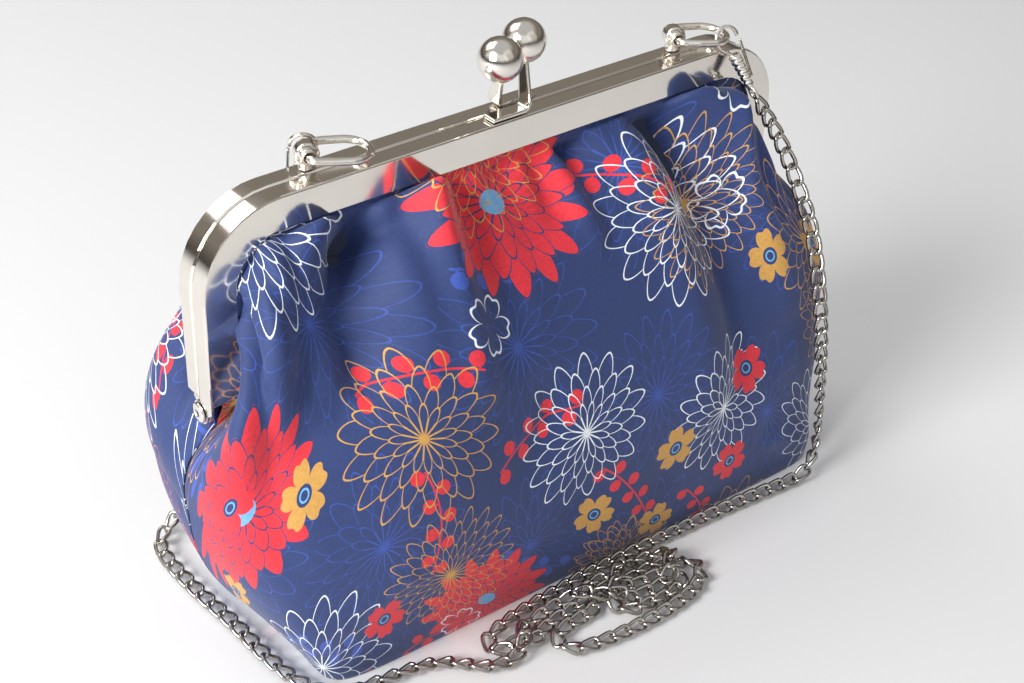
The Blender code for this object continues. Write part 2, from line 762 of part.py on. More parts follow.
# Each fold: (t, w) at its start and end, width in t, and depth (below the cloth is negative).
# w runs from 0 at the frame's mouth to 1 at the base's edge.
FRONT_FOLDS = (
    ((0.325, 0.10), (0.150, 0.50), 0.034, -6.5 * MM),
    ((0.275, 0.04), (0.090, 0.46), 0.028, 3.0 * MM),
    ((0.400, 0.04), (0.285, 0.58), 0.042, 4.0 * MM),
    ((0.460, 0.00), (0.430, 0.22), 0.018, -2.4 * MM),
    ((0.545, -0.02), (0.530, 0.14), 0.018, -3.6 * MM),
    ((0.600, 0.00), (0.600, 0.20), 0.020, 2.2 * MM),
    ((0.660, -0.02), (0.885, 0.34), 0.024, 4.0 * MM),
    ((0.715, -0.02), (0.900, 0.20), 0.024, -4.5 * MM),
    ((0.635, 0.04), (0.750, 0.56), 0.032, -4.2 * MM),
)
REAR_FOLDS = (
    ((0.350, 0.00), (0.180, 0.45), 0.034, -5.0 * MM),
    ((0.500, 0.00), (0.520, 0.30), 0.030, -2.5 * MM),
    ((0.660, 0.00), (0.850, 0.42), 0.036, -5.0 * MM),
)


def fold_depth(t, w, folds):
    """How far the folds lift or sink the cloth at (t, w)."""
    depth = 0.0
    for (t0, w0), (t1, w1), width, height in folds:
        dt, dw = t1 - t0, w1 - w0
        share = ((t - t0) * dt + (w - w0) * dw) / (dt * dt + dw * dw)
        near = min(max(share, 0.0), 1.0)
        miss_t = t - (t0 + near * dt)
        miss_w = (w - (w0 + near * dw)) * 0.6
        spread = width * (1.0 + 0.9 * near)
        fade = 1.0 - 0.55 * near
        depth += height * fade * math.exp(-(miss_t**2 + miss_w**2) / spread**2)
    return depth


def panel_keys(side):
    """The widest loop and the base's loop, which the columns of one panel hang between."""
    belly = half_loop(BELLY_LEFT, BELLY_RIGHT, BELLY_DEPTH, side, 4.2)
    foot = half_loop(BASE_LEFT, BASE_RIGHT, BASE_DEPTH, side, 14.0)
    return belly, foot


# Along the rim, left seam to right seam: the height of the widest line, how far above it the
# cloth is still steep, how far the cloth leaves the mouth outwards and inwards, and the ears.
PLACES = (0.0, 0.035, 0.10, 0.17, 0.27, 0.50, 0.73, 0.83, 0.90, 0.965, 1.0)
BELLY_Z = tuple(z * MM for z in (57, 62, 66, 62, 54, 50, 52, 58, 62, 60, 57))
REACH_UP = tuple(z * MM for z in (15, 26, 34, 38, 46, 48, 46, 36, 32, 28, 17))
MOUTH_OUT = tuple(z * MM for z in (1, 9, 11, 10, 9, 9, 9, 6, 6, 9.5, 1))
MOUTH_IN = tuple(z * MM for z in (0, -1, -3, -1, 7, 10, 8, 9, 6, 2.6, 0))
EAR_OUT = tuple(z * MM for z in (3, 6, 7, 4, 0, 0, 0, 1, 7, 9, 4))
REACH_DOWN = 30 * MM
FOOT_OUT = 2.5 * MM
FOOT_RISE = 7 * MM


def cloth_column(t, side, rows, keys):
    """Points of one column: channel edge, mouth, belly, base edge and the base's middle."""
    upper_rows, lower_rows, base_rows = rows
    floor = CLOTH_THICKNESS / 2
    seam_z = HINGE_Z - SEAM_DROP
    seam = (HALF_LENGTH - CHANNEL_FACE * 0.45, seam_z)
    seam_inner = (HALF_LENGTH - CHANNEL_FACE * 0.45, seam_z - 1.5 * MM)
    edge_x, edge_z = rim_point(t, CLOTH_IN_CHANNEL, seam)
    mouth_x, mouth_z = rim_point(t, CHANNEL_FACE + MOUTH_CLEAR, seam_inner)
    nx, nz = rim_inward(t)
    s = min(t, 1.0 - t)
    near_seam = float(smooth(0.0, SEAM_SHARE, s))
    y = side * (SEAM_GAP / 2 + (PANEL_Y - SEAM_GAP / 2) * near_seam)
    edge = np.array([edge_x, y, edge_z])
    mouth = np.array([mouth_x, y, mouth_z])
    belly_loop, foot_loop = keys
    bx, by = on_loop(belly_loop, t)
    fx, fy = on_loop(foot_loop, t)
    gap_y = side * SEAM_GAP / 2
    by = gap_y if abs(by) < abs(gap_y) else by
    fy = gap_y if abs(fy) < abs(gap_y) else fy
    belly = np.array([bx, by - 0.5 * BASE_TWIST * bx, by_place(t, PLACES, BELLY_Z)])
    foot = np.array([fx, fy - BASE_TWIST * fx, floor])
    out = by_place(t, PLACES, MOUTH_OUT)
    inner = by_place(t, PLACES, MOUTH_IN)
    from_mouth = mouth + np.array([nx * inner, side * out * near_seam, nz * inner])
    if s < SEAM_SHARE:
        outward = (-1.0 if t < 0.5 else 1.0) * 6.0 * MM * (1 - near_seam)
        from_mouth = from_mouth + np.array([outward, 0.0, -1.0 * MM])
    ear = math.copysign(by_place(t, PLACES, EAR_OUT), t - 0.5)
    to_belly = belly + np.array([ear, 0.0, by_place(t, PLACES, REACH_UP)])
    from_belly = belly - np.array([0.0, 0.0, REACH_DOWN])
    centre_x = (foot_loop[0][0] + foot_loop[0][-1]) / 2
    away = np.array([(fx - centre_x) * 0.25, fy, 0.0])
    length = float(np.hypot(away[0], away[1]))
    away = away / max(length, 1e-9) * FOOT_OUT
    if abs(fy) <= abs(gap_y):
        away = np.array([math.copysign(FOOT_OUT, fx - centre_x), 0.0, 0.0])
    to_foot = foot + away + np.array([0.0, 0.0, FOOT_RISE])
    points = [edge, mouth]
    ws = [0.0, 0.0]
    for i in range(1, upper_rows + 1):
        share = i / upper_rows
        points.append(cubic(mouth, from_mouth, to_belly, belly, share))
        ws.append(0.62 * share)
    for i in range(1, lower_rows + 1):
        share = i / lower_rows
        points.append(cubic(belly, from_belly, to_foot, foot, share))
        ws.append(0.62 + 0.38 * share)
    first, last = foot_loop[0][0], foot_loop[0][-1]
    middle_x = first + (last - first) * (0.06 + 0.88 * t)
    middle = np.array([middle_x, gap_y - BASE_TWIST * middle_x, floor])
    for i in range(1, base_rows + 1):
        share = i / base_rows
        points.append(foot + (middle - foot) * share)
        ws.append(1.0 + share)
    return points, ws


def column_places(count):
    """Column positions, closer together along the legs and corners than along the rail."""
    even = np.linspace(0.0, 1.0, count)
    return even - 0.0225 * np.sin(4 * math.pi * even)


def cloth_surface(side, columns, rows, folds):
    """A grid of points, columns by rows, with the folds worked in, and its outward normals."""
    keys = panel_keys(side)
    grid = []
    shares = []
    places = column_places(columns)
    for t in places:
        points, ws = cloth_column(float(t), side, rows, keys)
        grid.append(points)
        shares.append(ws)
    grid = np.array(grid)
    normal = grid_normals(grid, side)
    for i, t in enumerate(places):
        s = min(t, 1.0 - t)
        for j, w in enumerate(shares[i]):
            if w <= 0.0 or w >= 1.0:
                continue
            hold = smooth(0.0, 0.07, w) * (1.0 - smooth(0.80, 1.0, w)) * smooth(0.0, 0.06, s)
            grid[i, j] += normal[i, j] * hold * fold_depth(float(t), w, folds)
    return grid, grid_normals(grid, side)


def grid_normals(grid, side):
    """Unit normals of a grid of points, pointing out of the bag."""
    normal = np.cross(np.gradient(grid, axis=0), np.gradient(grid, axis=1))
    normal /= np.linalg.norm(normal, axis=2, keepdims=True) + 1e-12
    if normal[len(grid) // 2, 4, 1] * side < 0:
        normal = -normal
    return normal


def grid_object(name, grid, thickness):
    """The grid of points as a sheet with its thickness, one closed solid."""
    columns, rows = grid.shape[:2]
    faces = []
    for i in range(columns - 1):
        for j in range(rows - 1):
            a = i * rows + j
            faces.append((a, a + 1, a + rows + 1, a + rows))
    obj = mesh_object(name, grid.reshape(-1, 3), faces)
    shell = obj.modifiers.new("thickness", "SOLIDIFY")
    shell.thickness = thickness
    shell.offset = 0.0
    shell.use_even_offset = False
    return baked(obj)


PANEL_COLUMNS = 37
PANEL_ROWS = (7, 4, 1)
LINING_COLUMNS = 37
LINING_ROWS = (5, 2, 1)


def outer_panel(name, side, folds, home, look):
    grid, _ = cloth_surface(side, PANEL_COLUMNS, PANEL_ROWS, folds)
    panel = grid_object(name, grid, CLOTH_THICKNESS)
    return place(panel, name, home, look)


def lining_panel(name, side, folds, home, look):
    """The lining: the same surface moved inwards, from the channel's outer wall to its inner one."""
    grid, normal = cloth_surface(side, LINING_COLUMNS, LINING_ROWS, folds)
    rows = grid.shape[1]
    down = np.array([LINING_SLACK if 1 < j < rows - 2 else 0.0 for j in range(rows)])
    places = column_places(LINING_COLUMNS)
    along = smooth(SEAM_SHARE, 3 * SEAM_SHARE, np.minimum(places, 1.0 - places))
    slack = along[:, None] * down[None, :]
    grid = grid - normal * (PANEL_Y - LINING_Y + slack[:, :, None])
    sink = LINING_SINK * (1.0 - along[:, None]) * np.linspace(1.0, 0.0, rows)[None, :]
    grid[:, :, 2] -= sink
    grid[:, :, 0] -= 0.4 * sink * np.sign(places - 0.5)[:, None]
    grid[:, :, 1] = side * np.maximum(side * grid[:, :, 1], SEAM_GAP / 2)
    grid[:, :, 2] = np.maximum(grid[:, :, 2], LINING_FLOOR)
    panel = grid_object(name, grid, LINING_THICKNESS)
    return place(panel, name, home, look)


# The chain strap


def spline_through(points, spacing):
    """Evenly spaced points on a smooth curve through the given ones."""
    keys = [Vector(p) for p in points]
    dense = []
    for i in range(len(keys) - 1):
        before = keys[max(i - 1, 0)]
        after = keys[min(i + 2, len(keys) - 1)]
        start, end = keys[i], keys[i + 1]
        for step in range(24):
            s = step / 24
            tangent_in = (end - before) / 2
            tangent_out = (after - start) / 2
            h1 = 2 * s**3 - 3 * s**2 + 1
            h2 = s**3 - 2 * s**2 + s
            h3 = -2 * s**3 + 3 * s**2
            h4 = s**3 - s**2
            dense.append(start * h1 + tangent_in * h2 + end * h3 + tangent_out * h4)
    dense.append(keys[-1])
    runs = [0.0]
    for a, b in zip(dense, dense[1:]):
        runs.append(runs[-1] + (b - a).length)
    count = max(2, round(runs[-1] / spacing) + 1)
    result = []
    j = 0
    for i in range(count):
        want = runs[-1] * i / (count - 1)
        while j < len(runs) - 2 and runs[j + 1] < want:
            j += 1
        share = (want - runs[j]) / max(runs[j + 1] - runs[j], 1e-12)
        result.append(dense[j].lerp(dense[j + 1], share))
    return result


LINK_SHAPE = ((1.0, -0.5), (1.0, 0.5), (0.0, 1.06), (-1.0, 0.5), (-1.0, -0.5), (0.0, -1.06))


def link_ring(centre, along, flat):
    """Points and faces of one link: its long way on the chain's line, its width along flat."""
    across = along.cross(flat)
    half_length = (LINK_LENGTH - LINK_WIRE) / 2
    half_width = (LINK_WIDTH - LINK_WIRE) / 2
    thick = LINK_WIRE * 0.56
    points = []
    for a, b in LINK_SHAPE:
        out = (along * (0.75 * a) + flat * b).normalized()
        middle = centre + along * (a * half_length) + flat * (b * half_width)
        for u, v in ((1, 0), (0, 1), (-1, 0), (0, -1)):
            points.append(middle + out * (u * thick) + across * (v * thick))
    faces = []
    around = len(LINK_SHAPE)
    for i in range(around):
        j = (i + 1) % around
        for k in range(4):
            m = (k + 1) % 4
            faces.append((4 * i + k, 4 * i + m, 4 * j + m, 4 * j + k))
    return points, faces


def link_frames(route, first_flat, end_lean):
    """Centre, direction and width direction of each link, every next one a quarter turn on.

    The chain twists a little on its way, so that its last links lie end_lean degrees off upright.
    """
    centres = spline_through(route, LINK_PITCH)
    last = len(centres) - 1
    alongs = []
    for i in range(last + 1):
        alongs.append((centres[min(i + 1, last)] - centres[max(i - 1, 0)]).normalized())
    twist = 0.0
    for _ in range(2):
        flat = Vector(first_flat)
        frames = []
        for i, along in enumerate(alongs):
            flat = (flat - along * flat.dot(along)).normalized()
            frames.append((centres[i], along, flat))
            flat = Matrix.Rotation(math.pi / 2 + twist, 3, along) @ flat
        upright = Vector((0.0, 0.0, 1.0))
        upright = (upright - alongs[-1] * upright.dot(alongs[-1])).normalized()
        lean = math.atan2(alongs[-1].dot(upright.cross(frames[-1][2])), upright.dot(frames[-1][2]))
        wanted = math.radians(end_lean)
        miss = (wanted - lean + math.pi / 4) % (math.pi / 2) - math.pi / 4
        twist = miss / last
    return frames


def linked_chain(name, route, first_flat, home, look):
    """A stretch of chain as one solid, its links joined where they meet."""
    frames = link_frames(route, first_flat, 45.0)
    groups = []
    for parity in (0, 1):
        points, faces = [], []
        for centre, along, flat in frames[parity::2]:
            ring, around = link_ring(centre, along, flat)
            start = len(points)
            points += ring
            faces += [tuple(start + k for k in face) for face in around]
        groups.append(outward(mesh_object(f"{name}_{parity}", points, faces)))
    chain = combined(groups[0], [groups[1]], "UNION")
    return place(chain, name, home, look, smooth=False)


def in_bag(points):
    """Route points in millimetres from the frame's middle, as world metres."""
    return [(FRAME_X + x * MM, y * MM, z * MM) for x, y, z in points]


LYING = 2.9  # height of the middle of a chain that lies on the table

FRONT_ROUTE = (
    (94.0, -17.5, 125.3),
    (98.2, -21.5, 115.0),
    (99.8, -26.5, 106.0),
    (99.6, -32.0, 98.5),
    (99.0, -37.0, 89.5),
    (98.8, -41.0, 78.5),
    (100.0, -43.5, 65.0),
    (102.4, -44.7, 48.8),
    (104.4, -45.5, 32.8),
    (105.2, -46.2, 20.8),
    (104.4, -46.6, 10.0),
    (100.5, -46.9, 4.0),
    (94.0, -46.4, LYING),
    (84.0, -45.2, LYING),
    (73.0, -44.0, LYING),
    (62.0, -43.0, LYING),
    (52.0, -42.3, LYING),
    (44.6, -42.2, LYING),
)
LEFT_ROUTE = (
    (-51.4, -42.4, LYING),
    (-60.0, -40.2, LYING),
    (-71.0, -38.8, LYING),
    (-82.0, -36.0, LYING),
    (-89.6, -27.5, LYING),
    (-92.8, -12.0, LYING),
    (-93.4, 6.0, LYING),
    (-95.0, 24.0, LYING),
    (-95.5, 38.0, LYING),
)
REAR_ROUTE = (
    (-95.5, 42.4, LYING),
    (-93.2, 52.0, LYING),
    (-86.0, 57.0, 5.0),
    (-80.0, 56.0, 18.0),
    (-75.0, 55.0, 45.0),
    (-71.0, 51.0, 75.0),
    (-67.5, 41.0, 98.0),
    (-65.0, 30.0, 115.0),
    (-63.8, 21.0, 127.0),
    (-63.5, 17.0, 133.0),
)
HEAP_LEFT = -51.0
HEAP_RIGHT = 44.5
HEAP_FRONT = -69.5
HEAP_REAR = -38.8
HEAP_HEIGHT = 6.0


def chain_heap(name, home, look):
    """The coil of chain on the table, as one solid with its outer shape."""
    half = (HEAP_REAR - HEAP_FRONT) / 2
    middle = (HEAP_REAR + HEAP_FRONT) / 2
    left = arc((HEAP_LEFT + half, middle), half, 270, 90, 12)
    right = arc((HEAP_RIGHT - half, middle), half, 90, -90, 12)
    outline = [(FRAME_X + x * MM, y * MM) for x, y in left + right]
    heap = plate(name, outline, HEAP_HEIGHT * MM)
    moved(heap, Matrix.Translation((0.0, 0.0, HEAP_HEIGHT * MM / 2)))
    ease = heap.modifiers.new("ease", "BEVEL")
    ease.width = 1.5 * MM
    ease.segments = 2
    ease.angle_limit = math.radians(50)
    return place(heap, name, home, look)


def chain_tube(name, route, home, look):
    points = spline_through(in_bag(route), 10 * MM)
    tube = wire(name, points, 5.0 * MM, 2)
    return place(tube, name, home, look)


def main():
    clear_scene()
    home = collection("clasp_purse")
    nickel = material("nickel", NICKEL, 0.12, 1.0)
    chain_nickel = material("chain_nickel", NICKEL_DARK, 0.18, 1.0)
    navy = material("navy_cotton", NAVY, 0.62)
    lining_cloth = material("lining_cotton", LINING_COLOUR, 0.8)
    paper = material("paper_cord", PAPER, 0.9)
    for side, word in ((-1, "front"), (1, "rear")):
        layer = 0 if side < 0 else 1
        frame_half(f"{word}_frame", side, layer, home, nickel)
        paper_cord(f"{word}_paper_cord", side, home, paper)
        clasp(f"{word}_clasp_arm", f"{word}_clasp_ball", side, home, nickel)
        folds = FRONT_FOLDS if side < 0 else REAR_FOLDS
        outer_panel(f"{word}_panel", side, folds, home, navy)
        lining_panel(f"{word}_lining", side, folds, home, lining_cloth)
    for end, word in ((-1, "left"), (1, "right")):
        hinge_rivet(f"hinge_rivet_{word}", end, home, nickel)
        ring_lug(f"ring_lug_{word}", end, home, nickel)
        strap_ring(f"strap_ring_{word}", end, home, nickel)
        matrix = left_clip_matrix() if end < 0 else right_clip_matrix()
        clip_body(f"clip_{word}", matrix, home, nickel)
        clip_gate(f"clip_gate_{word}", matrix, home, nickel)
    clip = right_clip_matrix()
    eye = clip @ Vector((0.0, 0.0, CLIP_EYE_Z))
    route = in_bag(FRONT_ROUTE)
    away = (Vector(route[0]) - eye).normalized()
    start = eye + away * (LINK_LENGTH - LINK_WIRE) / 2
    linked_chain("chain_front", [start] + route, clip.col[0].to_3d(), home, chain_nickel)
    linked_chain("chain_left", in_bag(LEFT_ROUTE), (0.0, 0.7, 0.7), home, chain_nickel)
    chain_tube("chain_rear", REAR_ROUTE, home, chain_nickel)
    chain_heap("chain_heap", home, chain_nickel)


main()
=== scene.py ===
"""Kiss-lock frame purse with a chain strap: the looks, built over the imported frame.

Laid out as an add-on. Run as a script it registers itself, builds every group and finishes.
"""

import math
import random

import bmesh
import bpy
import numpy as np
from bpy.props import FloatProperty, FloatVectorProperty, IntProperty, PointerProperty
from mathutils import Matrix, Vector

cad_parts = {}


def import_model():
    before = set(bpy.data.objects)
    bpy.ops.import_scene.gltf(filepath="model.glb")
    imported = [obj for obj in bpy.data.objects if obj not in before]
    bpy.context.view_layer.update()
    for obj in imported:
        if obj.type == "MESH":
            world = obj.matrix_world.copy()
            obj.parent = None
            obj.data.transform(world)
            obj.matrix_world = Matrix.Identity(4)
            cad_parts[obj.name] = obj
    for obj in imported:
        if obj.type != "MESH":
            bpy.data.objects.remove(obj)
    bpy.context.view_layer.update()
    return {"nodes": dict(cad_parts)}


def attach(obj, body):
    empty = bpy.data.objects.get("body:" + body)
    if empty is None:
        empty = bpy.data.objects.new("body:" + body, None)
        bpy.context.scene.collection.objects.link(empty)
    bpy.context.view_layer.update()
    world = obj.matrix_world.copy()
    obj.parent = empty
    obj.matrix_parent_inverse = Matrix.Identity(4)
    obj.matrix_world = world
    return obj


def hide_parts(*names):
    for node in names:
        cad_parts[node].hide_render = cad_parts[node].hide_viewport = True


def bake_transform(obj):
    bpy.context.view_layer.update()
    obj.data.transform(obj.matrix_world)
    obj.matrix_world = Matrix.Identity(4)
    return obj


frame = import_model()

bl_info = {
    "name": "Frame purse",
    "version": (1, 0, 0),
    "blender": (4, 5, 0),
    "location": "3D View > Sidebar > Purse",
    "description": "Builds the cloth, chain, metal finish and stage of a kiss-lock frame purse",
    "category": "Add Mesh",
}

MM = 0.001


class PurseMetal(bpy.types.PropertyGroup):
    nickel: FloatVectorProperty(
        name="Nickel", description="Colour of the frame's polished plate",
        default=(0.80, 0.76, 0.70), subtype="COLOR", min=0, max=1,
    )
    chain: FloatVectorProperty(
        name="Chain", description="Colour of the chain's plate",
        default=(0.44, 0.42, 0.39), subtype="COLOR", min=0, max=1,
    )
    roughness: FloatProperty(
        name="Roughness", description="Roughness of the polished plate", default=0.13, min=0, max=1,
    )


class PurseCloth(bpy.types.PropertyGroup):
    ground: FloatVectorProperty(
        name="Ground", description="Navy ground of the print",
        default=(0.028, 0.050, 0.165), subtype="COLOR", min=0, max=1,
    )
    shade: FloatVectorProperty(
        name="Shade", description="Faint blue drawn on the ground",
        default=(0.045, 0.095, 0.42), subtype="COLOR", min=0, max=1,
    )
    white: FloatVectorProperty(
        name="White", description="White line of the print",
        default=(0.80, 0.86, 0.93), subtype="COLOR", min=0, max=1,
    )
    gold: FloatVectorProperty(
        name="Gold", description="Gold of the print",
        default=(0.60, 0.33, 0.085), subtype="COLOR", min=0, max=1,
    )
    red: FloatVectorProperty(
        name="Red", description="Red of the print",
        default=(0.72, 0.035, 0.055), subtype="COLOR", min=0, max=1,
    )
    coral: FloatVectorProperty(
        name="Coral", description="Coral line of the print",
        default=(0.58, 0.15, 0.19), subtype="COLOR", min=0, max=1,
    )
    sky: FloatVectorProperty(
        name="Sky", description="Light blue of the print",
        default=(0.16, 0.42, 0.74), subtype="COLOR", min=0, max=1,
    )
    thickness: FloatProperty(
        name="Thickness", description="Thickness of the shell's cloth",
        default=0.7 * MM, unit="LENGTH", min=0,
    )
    columns: IntProperty(
        name="Columns", description="Columns of the cloth from seam to seam", default=231, min=40,
    )
    flower: FloatProperty(
        name="Flower", description="Size of one cell of large flowers",
        default=66 * MM, unit="LENGTH", min=0.01,
    )


class PurseChain(bpy.types.PropertyGroup):
    link_length: FloatProperty(
        name="Link length", description="Length of one link", default=8.2 * MM, unit="LENGTH", min=0,
    )
    link_width: FloatProperty(
        name="Link width", description="Width of one link", default=5.2 * MM, unit="LENGTH", min=0,
    )
    wire: FloatProperty(
        name="Wire", description="Thickness of a link's wire", default=1.35 * MM, unit="LENGTH", min=0,
    )
    pitch: FloatProperty(
        name="Pitch", description="Distance from one link to the next",
        default=5.7 * MM, unit="LENGTH", min=0.001,
    )
    turn: FloatProperty(
        name="Turn", description="Angle that the chain twists through to either side along its run",
        default=math.radians(50), subtype="ANGLE",
    )


class PurseStage(bpy.types.PropertyGroup):
    table: FloatVectorProperty(
        name="Table", description="Colour of the table",
        default=(0.76, 0.77, 0.79), subtype="COLOR", min=0, max=1,
    )
    lens: FloatProperty(name="Lens", description="Focal length in mm", default=57.4, min=10)
    key: FloatProperty(name="Key", description="Power of the window light in W", default=5.0, min=0)


# Node helpers

CORNER_FACING = 0.9


class Sums:
    """Math nodes written as calls, for one material's tree."""

    def __init__(self, tree):
        self.tree = tree

    def fill(self, socket, value):
        if isinstance(value, bpy.types.NodeSocket):
            self.tree.links.new(value, socket)
        else:
            socket.default_value = value

    def op(self, kind, a, b=None):
        node = self.tree.nodes.new("ShaderNodeMath")
        node.operation = kind
        for socket, value in zip(node.inputs, (a, b)):
            if value is not None:
                self.fill(socket, value)
        return node.outputs[0]

    def add(self, a, b):
        return self.op("ADD", a, b)

    def sub(self, a, b):
        return self.op("SUBTRACT", a, b)

    def mul(self, a, b):
        return self.op("MULTIPLY", a, b)

    def less(self, a, b):
        return self.op("LESS_THAN", a, b)

    def more(self, a, b):
        return self.op("GREATER_THAN", a, b)

    def either(self, a, b):
        return self.op("MAXIMUM", a, b)

    def both(self, a, b):
        return self.op("MULTIPLY", a, b)

    def absolute(self, a):
        return self.op("ABSOLUTE", a)

    def between(self, value, low, high):
        return self.both(self.more(value, low), self.less(value, high))

    def length(self, x, y):
        return self.op("SQRT", self.add(self.mul(x, x), self.mul(y, y)))

    def pick(self, mask, a, b):
        """b where the mask is 1, and a where it is 0, for colours."""
        node = self.tree.nodes.new("ShaderNodeMix")
        node.data_type = "RGBA"
        self.fill(node.inputs["Factor"], mask)
        self.fill(node.inputs["A"], a)
        self.fill(node.inputs["B"], b)
        return node.outputs["Result"]

    def noise(self, vector, scale, detail):
        node = self.tree.nodes.new("ShaderNodeTexNoise")
        self.fill(node.inputs["Vector"], vector)
        node.inputs["Scale"].default_value = scale
        node.inputs["Detail"].default_value = detail
        return node.outputs["Fac"]

    def ramp(self, value, low, high, out_low, out_high):
        node = self.tree.nodes.new("ShaderNodeMapRange")
        names = ("Value", "From Min", "From Max", "To Min", "To Max")
        for name, number in zip(names, (value, low, high, out_low, out_high)):
            self.fill(node.inputs[name], number)
        return node.outputs["Result"]


def new_material(name):
    made = bpy.data.materials.new(name)
    made.use_nodes = True
    tree = made.node_tree
    return made, tree, tree.nodes["Principled BSDF"], Sums(tree)


def object_place(tree):
    return tree.nodes.new("ShaderNodeTexCoord").outputs["Object"]


def rounded_edges(tree, radius):
    """A normal that rounds the edges, and the facets of small round pieces."""
    rounded = tree.nodes.new("ShaderNodeBevel")
    rounded.samples = 8
    rounded.inputs["Radius"].default_value = radius
    return rounded.outputs["Normal"]


def turned_normal(tree, normal, start, end):
    """A normal carried from one space to the other, WORLD or OBJECT."""
    node = tree.nodes.new("ShaderNodeVectorTransform")
    node.vector_type = "NORMAL"
    node.convert_from, node.convert_to = start, end
    tree.links.new(normal, node.inputs[0])
    return node.outputs[0]


def dot(tree, a, b):
    node = tree.nodes.new("ShaderNodeVectorMath")
    node.operation = "DOT_PRODUCT"
    tree.links.new(a, node.inputs[0])
    tree.links.new(b, node.inputs[1])
    return node.outputs["Value"]


def round_corners(m, normal):
    """The frame's bent corners as true rounds: the facets there take the bend's own normal."""
    tree = m.tree
    split = tree.nodes.new("ShaderNodeSeparateXYZ")
    tree.links.new(object_place(tree), split.inputs[0])
    x = m.sub(split.outputs[0], FRAME_X)
    side = m.op("SIGN", x)
    dx = m.sub(x, m.mul(side, HALF_LENGTH - CORNER_RADIUS))
    dz = m.sub(split.outputs[2], FRAME_TOP - CORNER_RADIUS)
    run = m.either(m.length(dx, dz), 1.0 * MM)
    radial = tree.nodes.new("ShaderNodeCombineXYZ")
    m.fill(radial.inputs[0], m.op("DIVIDE", dx, run))
    m.fill(radial.inputs[2], m.op("DIVIDE", dz, run))
    facet = tree.nodes.new("ShaderNodeNewGeometry").outputs["True Normal"]
    facing = dot(tree, radial.outputs[0], turned_normal(tree, facet, "WORLD", "OBJECT"))
    in_corner = m.both(m.more(m.mul(dx, side), 0.0), m.more(dz, 0.0))
    bent = m.both(in_corner, m.more(m.absolute(facing), CORNER_FACING))
    outward = tree.nodes.new("ShaderNodeVectorMath")
    outward.operation = "SCALE"
    tree.links.new(radial.outputs[0], outward.inputs[0])
    m.fill(outward.inputs["Scale"], m.sub(m.mul(m.more(facing, 0.0), 2.0), 1.0))
    chosen = tree.nodes.new("ShaderNodeMix")
    chosen.data_type = "VECTOR"
    flat_side, bent_side = chosen.inputs[4], chosen.inputs[5]
    m.fill(chosen.inputs["Factor"], bent)
    tree.links.new(normal, flat_side)
    tree.links.new(turned_normal(tree, outward.outputs[0], "OBJECT", "WORLD"), bent_side)
    return chosen.outputs[1]


def add_bump(tree, shader, height, strength, distance, normal=None):
    bump = tree.nodes.new("ShaderNodeBump")
    if normal:
        tree.links.new(normal, bump.inputs["Normal"])
    bump.inputs["Strength"].default_value = strength
    bump.inputs["Distance"].default_value = distance
    tree.links.new(height, bump.inputs["Height"])
    tree.links.new(bump.outputs["Normal"], shader.inputs["Normal"])


def plated(name, colour, roughness, waviness, rounding=0.0, corners=False):
    """Polished plate with faint ripples and a fine grain, duller in some cloudy patches."""
    made, tree, shader, m = new_material(name)
    place = object_place(tree)
    cloud = m.noise(place, 55.0, 3.0)
    shader.inputs["Metallic"].default_value = 1.0
    tint = m.pick(m.ramp(cloud, 0.3, 0.7, 0.0, 1.0), (*colour, 1.0), (*[c * 0.93 for c in colour], 1.0))
    tree.links.new(tint, shader.inputs["Base Color"])
    tree.links.new(m.ramp(cloud, 0.35, 0.75, roughness * 0.7, roughness * 1.35), shader.inputs["Roughness"])
    ripple = m.noise(place, 120.0, 1.0)
    fine = m.noise(place, 1800.0, 2.0)
    normal = rounded_edges(tree, rounding) if rounding else None
    if corners:
        normal = round_corners(m, normal)
    add_bump(tree, shader, m.add(ripple, m.mul(fine, 0.05)), waviness, 0.2 * MM, normal)
    return made


# The print. Every motif is a traditional one: layered rosettes, five-petal blossoms, sprigs

INKS = ("ground", "shade", "white", "gold", "red", "coral", "sky")
FULL_TURN = 6.283
STEM_BEND = 9.0
THREAD = 0.42 * MM


def cell(m, u, v, size, turn, seed, jitter):
    """Local x, y in metres and three random numbers (0 to 1) for a cell of a turned brick lattice."""
    cos, sin = math.cos(turn), math.sin(turn)
    p = m.mul(m.sub(m.mul(u, cos), m.mul(v, sin)), 1 / size)
    q = m.mul(m.add(m.mul(u, sin), m.mul(v, cos)), 1 / size)
    row = m.op("FLOOR", q)
    p = m.add(p, m.mul(m.op("MODULO", m.absolute(row), 2.0), 0.5))
    column = m.op("FLOOR", p)
    joined = m.tree.nodes.new("ShaderNodeCombineXYZ")
    m.fill(joined.inputs[0], column)
    m.fill(joined.inputs[1], row)
    joined.inputs[2].default_value = seed
    rnd = m.tree.nodes.new("ShaderNodeTexWhiteNoise")
    m.tree.links.new(joined.outputs[0], rnd.inputs["Vector"])
    parts = m.tree.nodes.new("ShaderNodeSeparateColor")
    m.tree.links.new(rnd.outputs["Color"], parts.inputs[0])
    a, b, c = parts.outputs[0], parts.outputs[1], parts.outputs[2]
    x = m.sub(m.sub(m.sub(p, column), 0.5), m.mul(m.sub(a, 0.5), jitter))
    y = m.sub(m.sub(m.sub(q, row), 0.5), m.mul(m.sub(b, 0.5), jitter))
    return m.mul(x, size), m.mul(y, size), rnd.outputs["Value"], a, c


